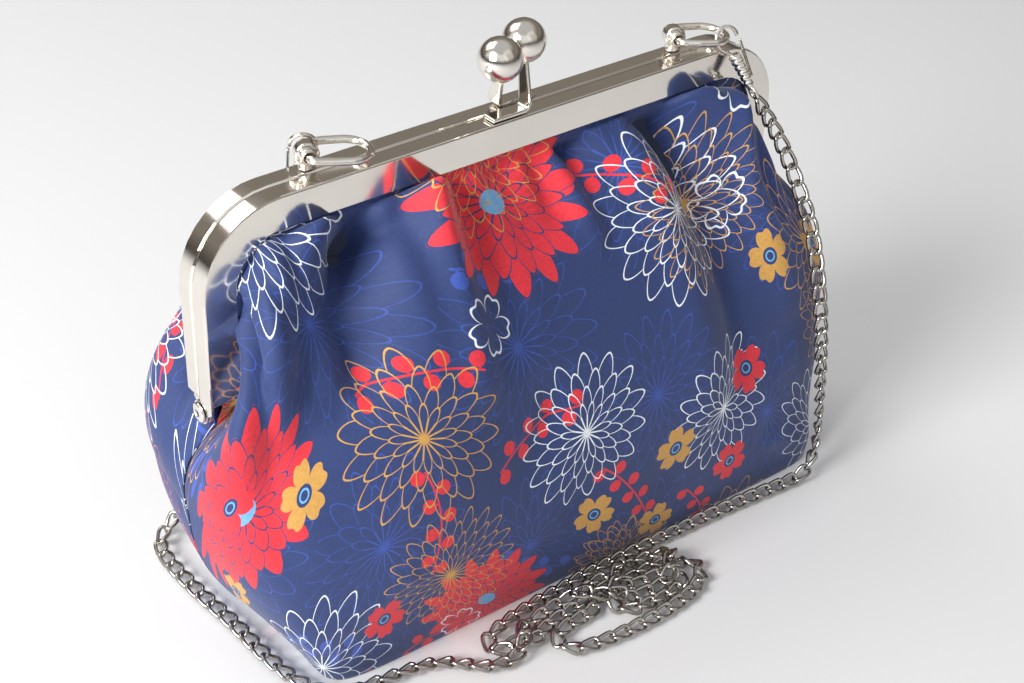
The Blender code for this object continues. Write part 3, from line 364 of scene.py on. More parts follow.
def rosette(m, x, y, radius, petals, rings, line, spin):
    """Line, filled and core masks of a layered rosette with pointed petals."""
    run = m.length(x, y)
    angle = m.add(m.mul(m.op("ARCTAN2", y, x), petals / (2 * math.pi)), spin)
    drawn = 0.0
    filled = None
    for k in range(rings):
        share = 1.0 - 0.8 * k / rings
        reach = m.mul(radius, share) if isinstance(radius, bpy.types.NodeSocket) else radius * share
        side = m.op("FRACT", m.add(angle, 0.5 * (k % 2)))
        side = m.mul(m.absolute(m.sub(side, 0.5)), 2.0)
        edge = m.mul(reach, m.sub(1.0, m.mul(m.op("POWER", side, 1.7), 0.42)))
        inside = m.less(run, edge)
        rim = m.less(m.absolute(m.sub(run, m.sub(edge, line * 0.6))), m.mul(m.add(side, 0.9), line * 0.55))
        across = m.mul(m.mul(m.sub(1.0, side), run), math.pi / petals)
        rib = m.less(across, line * 0.42)
        shown = m.either(rim, rib)
        drawn = m.either(m.mul(drawn, m.sub(1.0, inside)), m.both(inside, shown))
        filled = inside if filled is None else m.either(filled, inside)
    core = m.less(run, m.mul(radius, 0.13))
    return drawn, filled, core


def blossom(m, x, y, radius, spin):
    """Filled, outline, eye and ring masks of a five-petal blossom with notched petals."""
    run = m.length(x, y)
    angle = m.add(m.op("ARCTAN2", y, x), spin)
    lobe = m.absolute(m.op("COSINE", m.mul(angle, 2.5)))
    notch = m.mul(m.op("POWER", lobe, 14.0), 0.14)
    edge = m.mul(m.sub(m.add(0.42, m.mul(m.op("POWER", lobe, 0.6), 0.58)), notch), radius)
    filled = m.less(run, edge)
    outline = m.both(filled, m.more(run, m.sub(edge, 0.75 * MM)))
    eye = m.less(run, radius * 0.30)
    ring = m.between(run, radius * 0.14, radius * 0.20)
    return filled, outline, eye, ring


def sprig(m, x, y, half, step, fruit, rise):
    """Stem and fruit masks of a sprig: a bent stem with a berry on either side in turn."""
    stem_y = m.mul(m.mul(x, x), STEM_BEND)
    near = m.less(m.absolute(x), half)
    stem = m.both(near, m.less(m.absolute(m.sub(y, stem_y)), 0.35 * MM))
    number = m.op("FLOOR", m.mul(x, 1 / step))
    middle = m.mul(m.add(number, 0.5), step)
    sign = m.sub(m.mul(m.op("MODULO", m.absolute(number), 2.0), 2.0), 1.0)
    home = m.add(m.mul(m.mul(middle, middle), STEM_BEND), m.mul(sign, rise))
    berry = m.less(m.length(m.sub(x, middle), m.sub(y, home)), fruit)
    on = m.less(m.absolute(middle), half)
    stalk = m.both(m.less(m.absolute(m.sub(x, middle)), 0.3 * MM), m.less(m.absolute(m.sub(y, stem_y)), rise))
    stalk = m.both(stalk, m.more(m.mul(m.sub(y, stem_y), sign), 0.0))
    return m.both(on, m.either(stem, m.both(stalk, near))), m.both(on, berry)


def turned_by(m, x, y, angle):
    cos = m.op("COSINE", angle)
    sin = m.op("SINE", angle)
    return m.sub(m.mul(x, cos), m.mul(y, sin)), m.add(m.mul(x, sin), m.mul(y, cos))


def printed_cotton(name, cloth):
    """Navy cotton with a repeat of traditional rosettes, blossoms and sprigs, painted back to front."""
    made, tree, shader, m = new_material(name)
    place = tree.nodes.new("ShaderNodeUVMap")
    place.uv_map = "cloth"
    split = tree.nodes.new("ShaderNodeSeparateXYZ")
    tree.links.new(place.outputs[0], split.inputs[0])
    u, v = split.outputs[0], split.outputs[1]
    ink = {k: (*getattr(cloth, k), 1.0) for k in INKS}
    size = cloth.flower

    colour = ink["ground"]
    x, y, h, _, c = cell(m, m.add(u, 0.021), v, size * 0.93, 0.50, 3.0, 0.16)
    radius = m.mul(m.add(m.mul(c, 0.2), 0.38), size * 0.93)
    line, _, _ = rosette(m, x, y, radius, 18, 3, 0.50 * MM, h)
    colour = m.pick(m.mul(line, 0.85), colour, ink["shade"])

    x, y, h, a, c = cell(m, m.add(u, 0.013), m.add(v, 0.017), 47 * MM, -0.35, 11.0, 0.16)
    x, y = turned_by(m, x, y, m.mul(h, FULL_TURN))
    stem, berry = sprig(m, x, y, 19 * MM, 5.0 * MM, 2.4 * MM, 3.2 * MM)
    shown = m.less(c, 0.62)
    tone = m.pick(m.more(a, 0.45), ink["shade"], ink["red"])
    colour = m.pick(m.both(shown, m.either(stem, berry)), colour, tone)

    x, y, h, _, c = cell(m, u, v, size, 0.28, 7.0, 0.12)
    radius = m.mul(m.add(m.mul(c, 0.10), 0.38), size)
    line, filled, core = rosette(m, x, y, radius, 15, 4, 0.62 * MM, h)
    red = m.between(h, 0.68, 0.90)
    sky = m.more(h, 0.90)
    body = m.pick(sky, ink["red"], ink["sky"])
    colour = m.pick(m.both(filled, m.either(red, sky)), colour, body)
    thread = m.pick(m.more(h, 0.36), ink["white"], ink["gold"])
    thread = m.pick(red, thread, ink["ground"])
    thread = m.pick(sky, thread, ink["white"])
    colour = m.pick(line, colour, thread)
    colour = m.pick(m.both(core, red), colour, ink["sky"])

    x, y, h, a, c = cell(m, m.add(u, 0.047), m.add(v, 0.030), size * 1.12, -0.62, 31.0, 0.14)
    line, _, _ = rosette(m, x, y, size * 0.40, 20, 5, 0.50 * MM, h)
    shown = m.both(m.less(c, 0.48), line)
    colour = m.pick(shown, colour, m.pick(m.more(a, 0.5), ink["gold"], ink["coral"]))

    x, y, h, _, c = cell(m, m.add(u, 0.031), m.add(v, 0.009), 34 * MM, 0.75, 23.0, 0.24)
    shown = m.less(c, 0.55)
    filled, outline, eye, ring = blossom(m, x, y, 9.6 * MM, m.mul(h, FULL_TURN))
    open_kind = m.more(h, 0.80)
    closed_kind = m.sub(1.0, open_kind)
    tone = m.pick(m.more(h, 0.46), ink["gold"], ink["red"])
    tone = m.pick(open_kind, tone, ink["white"])
    body = m.both(filled, m.sub(1.0, m.both(open_kind, m.sub(1.0, outline))))
    colour = m.pick(m.both(shown, body), colour, tone)
    colour = m.pick(m.both(m.both(shown, eye), closed_kind), colour, ink["ground"])
    colour = m.pick(m.both(m.both(shown, ring), closed_kind), colour, ink["sky"])

    worn = m.noise(place.outputs[0], 900.0, 3.0)
    shaded = tree.nodes.new("ShaderNodeHueSaturation")
    tree.links.new(colour, shaded.inputs["Color"])
    tree.links.new(m.ramp(worn, 0.3, 0.7, 0.90, 1.10), shaded.inputs["Value"])
    tree.links.new(shaded.outputs[0], shader.inputs["Base Color"])
    shader.inputs["Roughness"].default_value = 0.66
    shader.inputs["Sheen Weight"].default_value = 0.18
    shader.inputs["Sheen Roughness"].default_value = 0.4
    shader.inputs["Specular IOR Level"].default_value = 0.35
    warp = m.op("SINE", m.mul(u, 2 * math.pi / THREAD))
    weft = m.op("SINE", m.mul(v, 2 * math.pi / THREAD))
    add_bump(tree, shader, m.mul(m.add(m.both(warp, weft), m.mul(worn, 1.5)), 0.4), 0.25, 0.08 * MM)
    return made


def plain_cotton(name, colour):
    made, tree, shader, m = new_material(name)
    place = tree.nodes.new("ShaderNodeUVMap")
    place.uv_map = "cloth"
    cloud = m.noise(place.outputs[0], 400.0, 3.0)
    tint = m.pick(m.ramp(cloud, 0.3, 0.7, 0.0, 1.0), (*colour, 1.0), (*[c * 1.4 for c in colour], 1.0))
    tree.links.new(tint, shader.inputs["Base Color"])
    shader.inputs["Roughness"].default_value = 0.8
    weave = m.noise(place.outputs[0], 2400.0, 1.0)
    add_bump(tree, shader, weave, 0.3, 0.08 * MM)
    return made


def paper(name):
    made, tree, shader, m = new_material(name)
    wave = tree.nodes.new("ShaderNodeTexWave")
    wave.inputs["Scale"].default_value = 320.0
    tree.links.new(object_place(tree), wave.inputs["Vector"])
    tint = m.pick(wave.outputs["Fac"], (0.50, 0.40, 0.26, 1.0), (0.74, 0.66, 0.50, 1.0))
    tree.links.new(tint, shader.inputs["Base Color"])
    shader.inputs["Roughness"].default_value = 0.9
    add_bump(tree, shader, wave.outputs["Fac"], 0.5, 0.15 * MM)
    return made


# The cloth: the solids' own form with more folds, as one fine sheet a side
# t runs from the left seam (0) to the right one (1); w from the mouth (0) to the base's edge (1)

FRAME_X = -5.24 * MM
HALF_LENGTH = 102.5 * MM
FRAME_TOP = 152.3 * MM
HINGE_Z = 91.3 * MM
CORNER_RADIUS = 24 * MM
CHANNEL_FACE = 9.6 * MM
LEG_STOP = 4.8 * MM
CLOTH_IN_CHANNEL = 4.6 * MM
MOUTH_CLEAR = 2.0 * MM
SEAM_DROP = 7.5 * MM
SEAM_GAP = 1.1 * MM
PANEL_Y = 4.65 * MM
LINING_Y = 1.7 * MM
CLOTH_THICKNESS = 0.8 * MM
BASE = (-87.7 * MM, 109.3 * MM, 35.0 * MM)
BASE_TWIST = 0.042
BELLY = (-112.3 * MM, 112.2 * MM, 43.0 * MM)
LEG_SHARE, CORNER_SHARE, SEAM_SHARE = 0.17, 0.10, 0.035
PLACES = (0.0, 0.035, 0.10, 0.17, 0.27, 0.50, 0.73, 0.83, 0.90, 0.965, 1.0)
BELLY_Z = tuple(z * MM for z in (57, 62, 66, 62, 54, 50, 52, 58, 62, 60, 57))
REACH_UP = tuple(z * MM for z in (15, 26, 34, 38, 46, 48, 46, 36, 32, 28, 17))
MOUTH_OUT = tuple(z * MM for z in (1, 9, 11, 10, 9, 9, 9, 6, 6, 9.5, 1))
MOUTH_IN = tuple(z * MM for z in (0, -1, -3, -1, 7, 10, 8, 9, 6, 2.6, 0))
EAR_OUT = tuple(z * MM for z in (3, 6, 7, 4, 0, 0, 0, 1, 7, 9, 4))
REACH_DOWN = 30 * MM
FOOT_OUT = 2.5 * MM
FOOT_RISE = 7 * MM
LINING_SINK = 8.0 * MM
LINING_SLACK = 2.5 * MM
LINING_FLOOR = 2.0 * MM

# How far the folds' heights are raised, the cloth's width from seam to seam, how square its loops are
FOLD_SHARE = 1.6
CLOTH_WIDTH = 315 * MM
BELLY_SQUARE = 4.2
BASE_SQUARE = 14.0
SHELL_ROWS = (52, 26, 3)
LINING_ROWS = (30, 14, 2)
LINING_COLUMNS = 121
LINING_THICKNESS = 0.5 * MM
SHELL_CUT = (0.330, 0.185)
LINING_CUT = (0.315, 0.165)

# Each fold: (t, w) at its start and end, width in t, and height above the cloth
FRONT_FOLDS = (
    ((0.325, 0.10), (0.150, 0.50), 0.034, -6.5 * MM),
    ((0.275, 0.04), (0.090, 0.46), 0.028, 3.0 * MM),
    ((0.400, 0.04), (0.285, 0.58), 0.042, 4.0 * MM),
    ((0.460, 0.00), (0.430, 0.22), 0.018, -2.4 * MM),
    ((0.545, -0.02), (0.530, 0.14), 0.018, -3.6 * MM),
    ((0.600, 0.00), (0.600, 0.20), 0.020, 2.2 * MM),
    ((0.660, -0.02), (0.885, 0.34), 0.024, 4.0 * MM),
    ((0.715, -0.02), (0.900, 0.20), 0.024, -4.5 * MM),
    ((0.635, 0.04), (0.750, 0.56), 0.032, -4.2 * MM),
)
# The creases that show in the photograph, sharper than the solids' folds
FRONT_CREASES = (
    ((0.352, -0.02), (0.262, 0.36), 0.011, -4.2 * MM),
    ((0.312, -0.02), (0.205, 0.42), 0.016, 3.2 * MM),
    ((0.392, -0.02), (0.350, 0.40), 0.015, 2.8 * MM),
    ((0.432, -0.02), (0.420, 0.22), 0.009, -3.2 * MM),
    ((0.505, -0.02), (0.515, 0.20), 0.008, -3.2 * MM),
    ((0.530, -0.02), (0.545, 0.26), 0.008, 2.6 * MM),
    ((0.555, -0.02), (0.590, 0.24), 0.009, -3.0 * MM),
    ((0.600, -0.02), (0.660, 0.60), 0.018, 2.6 * MM),
    ((0.640, -0.02), (0.722, 0.58), 0.013, -3.6 * MM),
    ((0.690, -0.02), (0.800, 0.50), 0.016, 2.6 * MM),
    ((0.150, 0.10), (0.120, 0.60), 0.012, -2.6 * MM),
)
REAR_FOLDS = (
    ((0.350, 0.00), (0.180, 0.45), 0.034, -5.0 * MM),
    ((0.500, 0.00), (0.520, 0.30), 0.030, -2.5 * MM),
    ((0.660, 0.00), (0.850, 0.42), 0.036, -5.0 * MM),
)


def smooth(low, high, value):
    share = np.clip((value - low) / (high - low), 0.0, 1.0)
    return share * share * (3.0 - 2.0 * share)


def rim_point(t, offset, seam_point):
    """(x, z) on the rim at t in 0..1, this far inside the frame's outer face."""
    half = HALF_LENGTH - offset
    top = FRAME_TOP - offset
    radius = CORNER_RADIUS - offset
    leg_end = HINGE_Z + LEG_STOP
    s = min(t, 1.0 - t)
    sign = -1.0 if t <= 0.5 else 1.0
    if s < SEAM_SHARE:
        share = s / SEAM_SHARE
        x = half + (seam_point[0] - half) * (1 - share)
        z = leg_end + (seam_point[1] - leg_end) * (1 - share)
    elif s < LEG_SHARE:
        x = half
        z = leg_end + (top - radius - leg_end) * (s - SEAM_SHARE) / (LEG_SHARE - SEAM_SHARE)
    elif s < LEG_SHARE + CORNER_SHARE:
        angle = (s - LEG_SHARE) / CORNER_SHARE * math.pi / 2
        x = half - radius + radius * math.cos(angle)
        z = top - radius + radius * math.sin(angle)
    else:
        share = (s - LEG_SHARE - CORNER_SHARE) / (0.5 - LEG_SHARE - CORNER_SHARE)
        x = (half - radius) * (1 - share)
        z = top
    return FRAME_X + sign * x, z


def rim_inward(t):
    s = min(t, 1.0 - t)
    sign = -1.0 if t <= 0.5 else 1.0
    angle = float(np.clip((s - LEG_SHARE) / CORNER_SHARE, 0.0, 1.0)) * math.pi / 2
    return -sign * math.cos(angle), -math.sin(angle)


def half_loop(left, right, depth, side, roundness):
    """A dense half of a rounded rectangle from its left end to its right end, by run length."""
    angle = np.linspace(math.pi, 0.0, 721)
    power = 2.0 / roundness
    around = np.sign(np.cos(angle)) * np.abs(np.cos(angle)) ** power
    x = (left + right) / 2 + (right - left) / 2 * around
    y = side * depth * np.abs(np.sin(angle)) ** power
    run = np.concatenate([[0.0], np.cumsum(np.hypot(np.diff(x), np.diff(y)))])
    return x, y, run / run[-1]


def cubic(a, b, c, d, s):
    s = s[:, None]
    return (1 - s) ** 3 * a + 3 * (1 - s) ** 2 * s * b + 3 * (1 - s) * s * s * c + s**3 * d


def cloth_column(t, side, rows, belly_loop, foot_loop):
    """Points of one column: channel edge, mouth, belly, base edge and the base's middle."""
    upper_rows, lower_rows, base_rows = rows
    floor = CLOTH_THICKNESS / 2
    seam_z = HINGE_Z - SEAM_DROP
    seam_x = HALF_LENGTH - CHANNEL_FACE * 0.45
    edge_x, edge_z = rim_point(t, CLOTH_IN_CHANNEL, (seam_x, seam_z))
    mouth_x, mouth_z = rim_point(t, CHANNEL_FACE + MOUTH_CLEAR, (seam_x, seam_z - 1.5 * MM))
    nx, nz = rim_inward(t)
    s = min(t, 1.0 - t)
    near_seam = float(smooth(0.0, SEAM_SHARE, s))
    gap_y = side * SEAM_GAP / 2
    y = gap_y + side * (PANEL_Y - SEAM_GAP / 2) * near_seam
    edge = np.array([edge_x, y, edge_z])
    mouth = np.array([mouth_x, y, mouth_z])
    bx, by = (float(np.interp(t, belly_loop[2], belly_loop[k])) for k in (0, 1))
    fx, fy = (float(np.interp(t, foot_loop[2], foot_loop[k])) for k in (0, 1))
    by = gap_y if abs(by) < abs(gap_y) else by
    fy = gap_y if abs(fy) < abs(gap_y) else fy
    belly = np.array([bx, by - 0.5 * BASE_TWIST * bx, np.interp(t, PLACES, BELLY_Z)])
    foot = np.array([fx, fy - BASE_TWIST * fx, floor])
    out, inner = np.interp(t, PLACES, MOUTH_OUT), np.interp(t, PLACES, MOUTH_IN)
    from_mouth = mouth + np.array([nx * inner, side * out * near_seam, nz * inner])
    if s < SEAM_SHARE:
        away = (-1.0 if t < 0.5 else 1.0) * 6.0 * MM * (1 - near_seam)
        from_mouth = from_mouth + np.array([away, 0.0, -1.0 * MM])
    ear = math.copysign(np.interp(t, PLACES, EAR_OUT), t - 0.5)
    to_belly = belly + np.array([ear, 0.0, np.interp(t, PLACES, REACH_UP)])
    from_belly = belly - np.array([0.0, 0.0, REACH_DOWN])
    centre_x = (BASE[0] + BASE[1]) / 2
    away = np.array([(fx - centre_x) * 0.25, fy, 0.0])
    away = away / max(float(np.hypot(away[0], away[1])), 1e-9) * FOOT_OUT
    if abs(fy) <= abs(gap_y):
        away = np.array([math.copysign(FOOT_OUT, fx - centre_x), 0.0, 0.0])
    to_foot = foot + away + np.array([0.0, 0.0, FOOT_RISE])
    upper = np.arange(1, upper_rows + 1) / upper_rows
    lower = np.arange(1, lower_rows + 1) / lower_rows
    under = np.arange(1, base_rows + 1) / base_rows
    middle_x = BASE[0] + (BASE[1] - BASE[0]) * (0.06 + 0.88 * t)
    middle = np.array([middle_x, gap_y - BASE_TWIST * middle_x, floor])
    points = np.concatenate([
        [edge, mouth],
        cubic(mouth, from_mouth, to_belly, belly, upper),
        cubic(belly, from_belly, to_foot, foot, lower),
        foot + (middle - foot) * under[:, None],
    ])
    shares = np.concatenate([[0.0, 0.0], 0.62 * upper, 0.62 + 0.38 * lower, 1.0 + under])
    return points, shares


def fold_depth(t, w, folds):
    """How far the folds lift or sink the cloth, for arrays of t and w."""
    depth = np.zeros_like(t)
    for (t0, w0), (t1, w1), width, height in folds:
        dt, dw = t1 - t0, w1 - w0
        near = np.clip(((t - t0) * dt + (w - w0) * dw) / (dt * dt + dw * dw), 0.0, 1.0)
        miss_t = t - (t0 + near * dt)
        miss_w = (w - (w0 + near * dw)) * 0.6
        spread = width * (1.0 + 0.9 * near)
        depth += height * (1.0 - 0.55 * near) * np.exp(-(miss_t**2 + miss_w**2) / spread**2)
    return depth


def gathers(seed):
    """Fine gathers that start at the mouth and die out, and shallow dents further down."""
    rnd = random.Random(seed)
    folds = []
    for i in range(30):
        t = 0.10 + 0.80 * (i + rnd.uniform(0.1, 0.9)) / 30
        lean = (t - 0.5) * rnd.uniform(0.2, 0.9)
        length = rnd.uniform(0.12, 0.42)
        height = rnd.uniform(1.2, 3.0) * MM * (1 if i % 2 else -1)
        folds.append(((t, -0.02), (t + lean * length, length), rnd.uniform(0.007, 0.014), height))
    for i in range(16):
        t = rnd.uniform(0.12, 0.88)
        w = rnd.uniform(0.25, 0.8)
        turn = (t - 0.5) * rnd.uniform(0.2, 0.5)
        height = rnd.uniform(-1.7, 1.5) * MM
        folds.append(((t, w), (t + turn, w + rnd.uniform(0.05, 0.16)), rnd.uniform(0.014, 0.03), height))
    return tuple(folds)


def cloth_grid(side, columns, rows, folds):
    """Points, outward normals, flat coordinates and columns' places of one side's cloth."""
    belly = half_loop(*BELLY, side, BELLY_SQUARE)
    foot = half_loop(*BASE, side, BASE_SQUARE)
    even = np.linspace(0.0, 1.0, columns)
    places = even - 0.0225 * np.sin(4 * math.pi * even)
    made = [cloth_column(float(t), side, rows, belly, foot) for t in places]
    grid = np.array([points for points, _ in made])
    w = np.array([shares for _, shares in made])
    t = np.repeat(places[:, None], w.shape[1], axis=1)
    s = np.minimum(t, 1.0 - t)
    normal = grid_normals(grid, side)
    run = np.linalg.norm(np.diff(grid, axis=1), axis=2)
    down = np.concatenate([np.zeros((columns, 1)), np.cumsum(run, axis=1)], axis=1)
    flat = np.stack([t * CLOTH_WIDTH, -down], axis=2)
    hold = FOLD_SHARE * smooth(0.0, 0.03, w) * (1.0 - smooth(0.80, 1.0, w)) * smooth(0.0, 0.06, s)
    grid = grid + normal * (hold * fold_depth(t, w, folds))[:, :, None]
    return grid, grid_normals(grid, side), flat, places


def grid_normals(grid, side):
    """Normals that point away from the bag's inside."""
    normal = np.cross(np.gradient(grid, axis=0), np.gradient(grid, axis=1))
    normal /= np.linalg.norm(normal, axis=2, keepdims=True) + 1e-12
    if normal[len(grid) // 2, 12, 1] * side < 0:
        normal = -normal
    return normal


def grid_object(name, grid, flat, thickness, outward_side):
    """The grid as a smooth sheet with a UV map in metres of cloth."""
    columns, rows = grid.shape[:2]
    index = np.arange(columns * rows).reshape(columns, rows)
    a, b = index[:-1, :-1], index[:-1, 1:]
    c, d = index[1:, 1:], index[1:, :-1]
    quads = np.stack([a, b, c, d], axis=-1).reshape(-1, 4)
    if outward_side > 0:
        quads = quads[:, ::-1]
    mesh = bpy.data.meshes.new(name)
    mesh.from_pydata(grid.reshape(-1, 3).tolist(), [], quads.tolist())
    layer = mesh.uv_layers.new(name="cloth")
    where = flat.reshape(-1, 2)
    layer.data.foreach_set("uv", where[quads.reshape(-1)].astype(np.float32).reshape(-1))
    mesh.shade_smooth()
    obj = bpy.data.objects.new(name, mesh)
    bpy.context.scene.collection.objects.link(obj)
    shell = obj.modifiers.new("thickness", "SOLIDIFY")
    shell.thickness = thickness
    shell.offset = 0.0
    return obj


# The chain

EYE_RIGHT = (79.2, -14.74, 139.86)
EYE_LEFT = (-68.6, 13.55, 139.29)
LYING = 2.9
FRONT_ROUTE = (
    (94.0, -17.5, 125.3), (98.2, -21.5, 115.0), (99.8, -26.5, 106.0), (99.6, -32.0, 98.5),
    (99.0, -37.0, 89.5), (98.8, -41.0, 78.5), (100.0, -43.5, 65.0), (102.4, -44.7, 48.8),
    (104.4, -45.5, 32.8), (105.2, -46.2, 20.8), (104.4, -46.6, 10.0), (100.5, -46.9, 4.0),
    (94.0, -46.4, LYING), (84.0, -45.2, LYING), (73.0, -44.0, LYING), (62.0, -43.0, LYING),
    (52.0, -42.3, LYING), (44.6, -42.2, LYING),
)
LEFT_ROUTE = (
    (-51.4, -42.4, LYING), (-60.0, -40.2, LYING), (-71.0, -38.8, LYING), (-82.0, -36.0, LYING),
    (-89.6, -27.5, LYING), (-92.8, -12.0, LYING), (-93.4, 6.0, LYING), (-95.0, 24.0, LYING),
    (-95.5, 38.0, LYING),
)
REAR_ROUTE = (
    (-95.5, 42.4, LYING), (-93.2, 52.0, LYING), (-86.0, 57.0, 5.0), (-80.0, 56.0, 18.0),
    (-75.0, 55.0, 45.0), (-71.0, 51.0, 75.0), (-67.5, 41.0, 98.0), (-65.0, 30.0, 115.0),
    (-63.8, 21.0, 127.0), (-63.5, 17.0, 133.0),
)
# The coil as it is dropped, before it settles: x, y, z in mm from the right end to the left
COIL = (
    (36, -41.6, 2.6), (20, -41.2, 2.6), (4, -40.6, 2.6), (-12, -40.4, 2.6), (-26, -41.0, 2.6),
    (-36, -43.5, 2.6), (-39, -49.0, 2.6), (-32, -53.0, 2.6), (-21, -51.0, 2.6), (-10, -47.0, 2.6),
    (4, -45.6, 2.6), (18, -46.0, 2.6), (30, -47.0, 2.6), (38, -51.5, 2.6), (40, -58.5, 2.6),
    (35, -64.5, 2.6), (23, -67.0, 2.6), (9, -67.4, 2.6), (-6, -66.0, 2.6), (-18, -62.5, 2.6),
    (-21, -57.0, 3.5), (-14, -53.0, 5.0), (-2, -50.6, 4.0), (10, -50.6, 3.0), (22, -51.4, 2.8),
    (31, -54.6, 2.8), (31, -60.0, 2.8), (22, -62.6, 2.8), (11, -61.4, 3.6), (5, -56.5, 5.5),
    (7, -50.0, 7.0), (15, -44.6, 7.0), (26, -43.6, 7.0), (35, -46.6, 7.0), (37, -54.0, 7.0),
    (30, -58.4, 7.0), (18, -57.6, 7.0), (8, -53.0, 8.0), (-3, -46.6, 7.4), (-15, -43.0, 7.0),
    (-26, -46.0, 6.4), (-28, -53.0, 6.0), (-35, -57.0, 3.4), (-44, -54.5, 2.8), (-47, -48.0, 2.7),
)
# Clearance of two strands' middles, the table and the foot of the cloth
STRAND = 4.5 * MM
LYING_LEAST = 2.8 * MM
CLOTH_FOOT = -39.6 * MM
SETTLE_STEPS = 260
PATH_STEP = 3 * MM
PINNED = 3
LYING_BELOW = 12 * MM
TWIST_STEP = 0.17


def settle(points):
    """Lay the points down under their own weight: strands rest on one another and on the table."""
    place = np.array([tuple(p) for p in points])
    rest = np.linalg.norm(np.diff(place, axis=0), axis=1)
    index = np.arange(len(place))
    apart = np.abs(index[:, None] - index[None, :]) > 3
    free = np.ones(len(place))
    free[:PINNED] = 0.0
    free[-PINNED:] = 0.0
    for _ in range(SETTLE_STEPS):
        before = place.copy()
        place[:, 2] -= 0.12 * MM
        gap = place[:, None, :] - place[None, :, :]
        run = np.linalg.norm(gap, axis=2) + 1e-9
        push = np.where(apart & (run < STRAND), (STRAND - run) * 0.45, 0.0)
        lift = gap / run[:, :, None]
        lift[:, :, 2] *= 1.6
        place += (lift * push[:, :, None]).sum(axis=1) * 0.6
        for _ in range(3):
            step = np.diff(place, axis=0)
            length = np.linalg.norm(step, axis=1)
            fix = step * ((length - rest) / length * 0.45)[:, None]
            place[:-1] += fix
            place[1:] -= fix
        place[1:-1] += (place[:-2] + place[2:] - 2 * place[1:-1]) * 0.06
        wall = CLOTH_FOOT - BASE_TWIST * (place[:, 0] - FRAME_X)
        place[:, 1] = np.minimum(place[:, 1], wall)
        place[:, 2] = np.maximum(place[:, 2], LYING_LEAST)
        place = before + (place - before) * free[:, None]
    return [Vector(p) for p in place]


def spline_through(points, spacing):
    """Evenly spaced points on a smooth curve through the given ones, in metres."""
    keys = [Vector(p) for p in points]
    dense = []
    for i in range(len(keys) - 1):
        before, start = keys[max(i - 1, 0)], keys[i]
        end, after = keys[i + 1], keys[min(i + 2, len(keys) - 1)]
        for step in range(16):
            s = step / 16
            h1 = 2 * s**3 - 3 * s**2 + 1
            h2 = s**3 - 2 * s**2 + s
            h3 = -2 * s**3 + 3 * s**2
            h4 = s**3 - s**2
            dense.append(start * h1 + (end - before) / 2 * h2 + end * h3 + (after - start) / 2 * h4)
    dense.append(keys[-1])
    runs = [0.0]
    for a, b in zip(dense, dense[1:]):
        runs.append(runs[-1] + (b - a).length)
    count = max(2, round(runs[-1] / spacing) + 1)
    result, j = [], 0
    for i in range(count):
        want = runs[-1] * i / (count - 1)
        while j < len(runs) - 2 and runs[j + 1] < want:
            j += 1
        share = (want - runs[j]) / max(runs[j + 1] - runs[j], 1e-12)
        result.append(dense[j].lerp(dense[j + 1], share))
    return result, runs[-1]


def chain_route():
    """The chain's middle line from the right clip's eye round to the left clip's eye."""

    def world(points):
        return [Vector((x, y, z)) * MM + Vector((FRAME_X, 0, 0)) for x, y, z in points]

    coil = world(FRONT_ROUTE[-3:-1] + COIL + LEFT_ROUTE[:3])
    settled = settle(spline_through(coil, PATH_STEP)[0])
    start, end = Vector(EYE_RIGHT) * MM, Vector(EYE_LEFT) * MM
    left = world(LEFT_ROUTE[3:] + REAR_ROUTE)
    return [start] + world(FRONT_ROUTE[:-3]) + settled + left + [end]


def link_points(centre, along, flat, chain, around=14, sides=6):
    """One curb link: a long ring whose wire twists out of its own plane, to pass its neighbours."""
    across = along.cross(flat)
    half_length = (chain.link_length - chain.wire) / 2
    half_width = (chain.link_width - chain.wire) / 2
    middles = []
    for i in range(around):
        angle = 2 * math.pi * i / around
        cos, sin = math.cos(angle), math.sin(angle)
        a = math.copysign(abs(cos) ** 0.8, cos) * half_length
        b = math.copysign(abs(sin) ** 0.8, sin) * half_width
        twist = 0.62 * chain.wire * math.sin(2 * angle)
        middles.append(centre + along * a + flat * b + across * twist)
    points = []
    for i, middle in enumerate(middles):
        run = (middles[(i + 1) % around] - middles[i - 1]).normalized()
        out = middle - centre
        out = (out - run * out.dot(run)).normalized()
        third = run.cross(out)
        for k in range(sides):
            angle = 2 * math.pi * k / sides
            points.append(middle + (out * math.cos(angle) + third * math.sin(angle)) * (chain.wire / 2))
    faces = []
    for i in range(around):
        j = (i + 1) % around
        for k in range(sides):
            n = (k + 1) % sides
            faces.append((i * sides + k, i * sides + n, j * sides + n, j * sides + k))
    return points, faces


# Operators


def dress(obj, look):
    """Give a CAD node its finish."""
    for slot in obj.material_slots:
        slot.material = look
    if not obj.material_slots:
        obj.data.materials.append(look)


class PURSE_OT_camera(bpy.types.Operator):
    """Set the camera where the photograph was taken from"""

    bl_idname = "purse.camera"
    bl_label = "Camera"

    def execute(self, context):
        settings = context.scene.purse_stage
        data = bpy.data.cameras.new("camera")
        data.lens = settings.lens
        data.sensor_width = 36.0
        data.clip_start = 0.01
        camera = bpy.data.objects.new("camera", data)
        context.scene.collection.objects.link(camera)
        right = Vector((0.77692, -0.62806, 0.04405))
        up = Vector((0.33000, 0.46580, 0.82105))
        back = Vector((-0.5362, -0.6234, 0.5691))
        matrix = Matrix((right, up, back)).transposed().to_4x4()
        matrix.translation = (-0.27020, -0.31444, 0.35788)
        camera.matrix_world = matrix
        context.scene.camera = camera
        return {"FINISHED"}


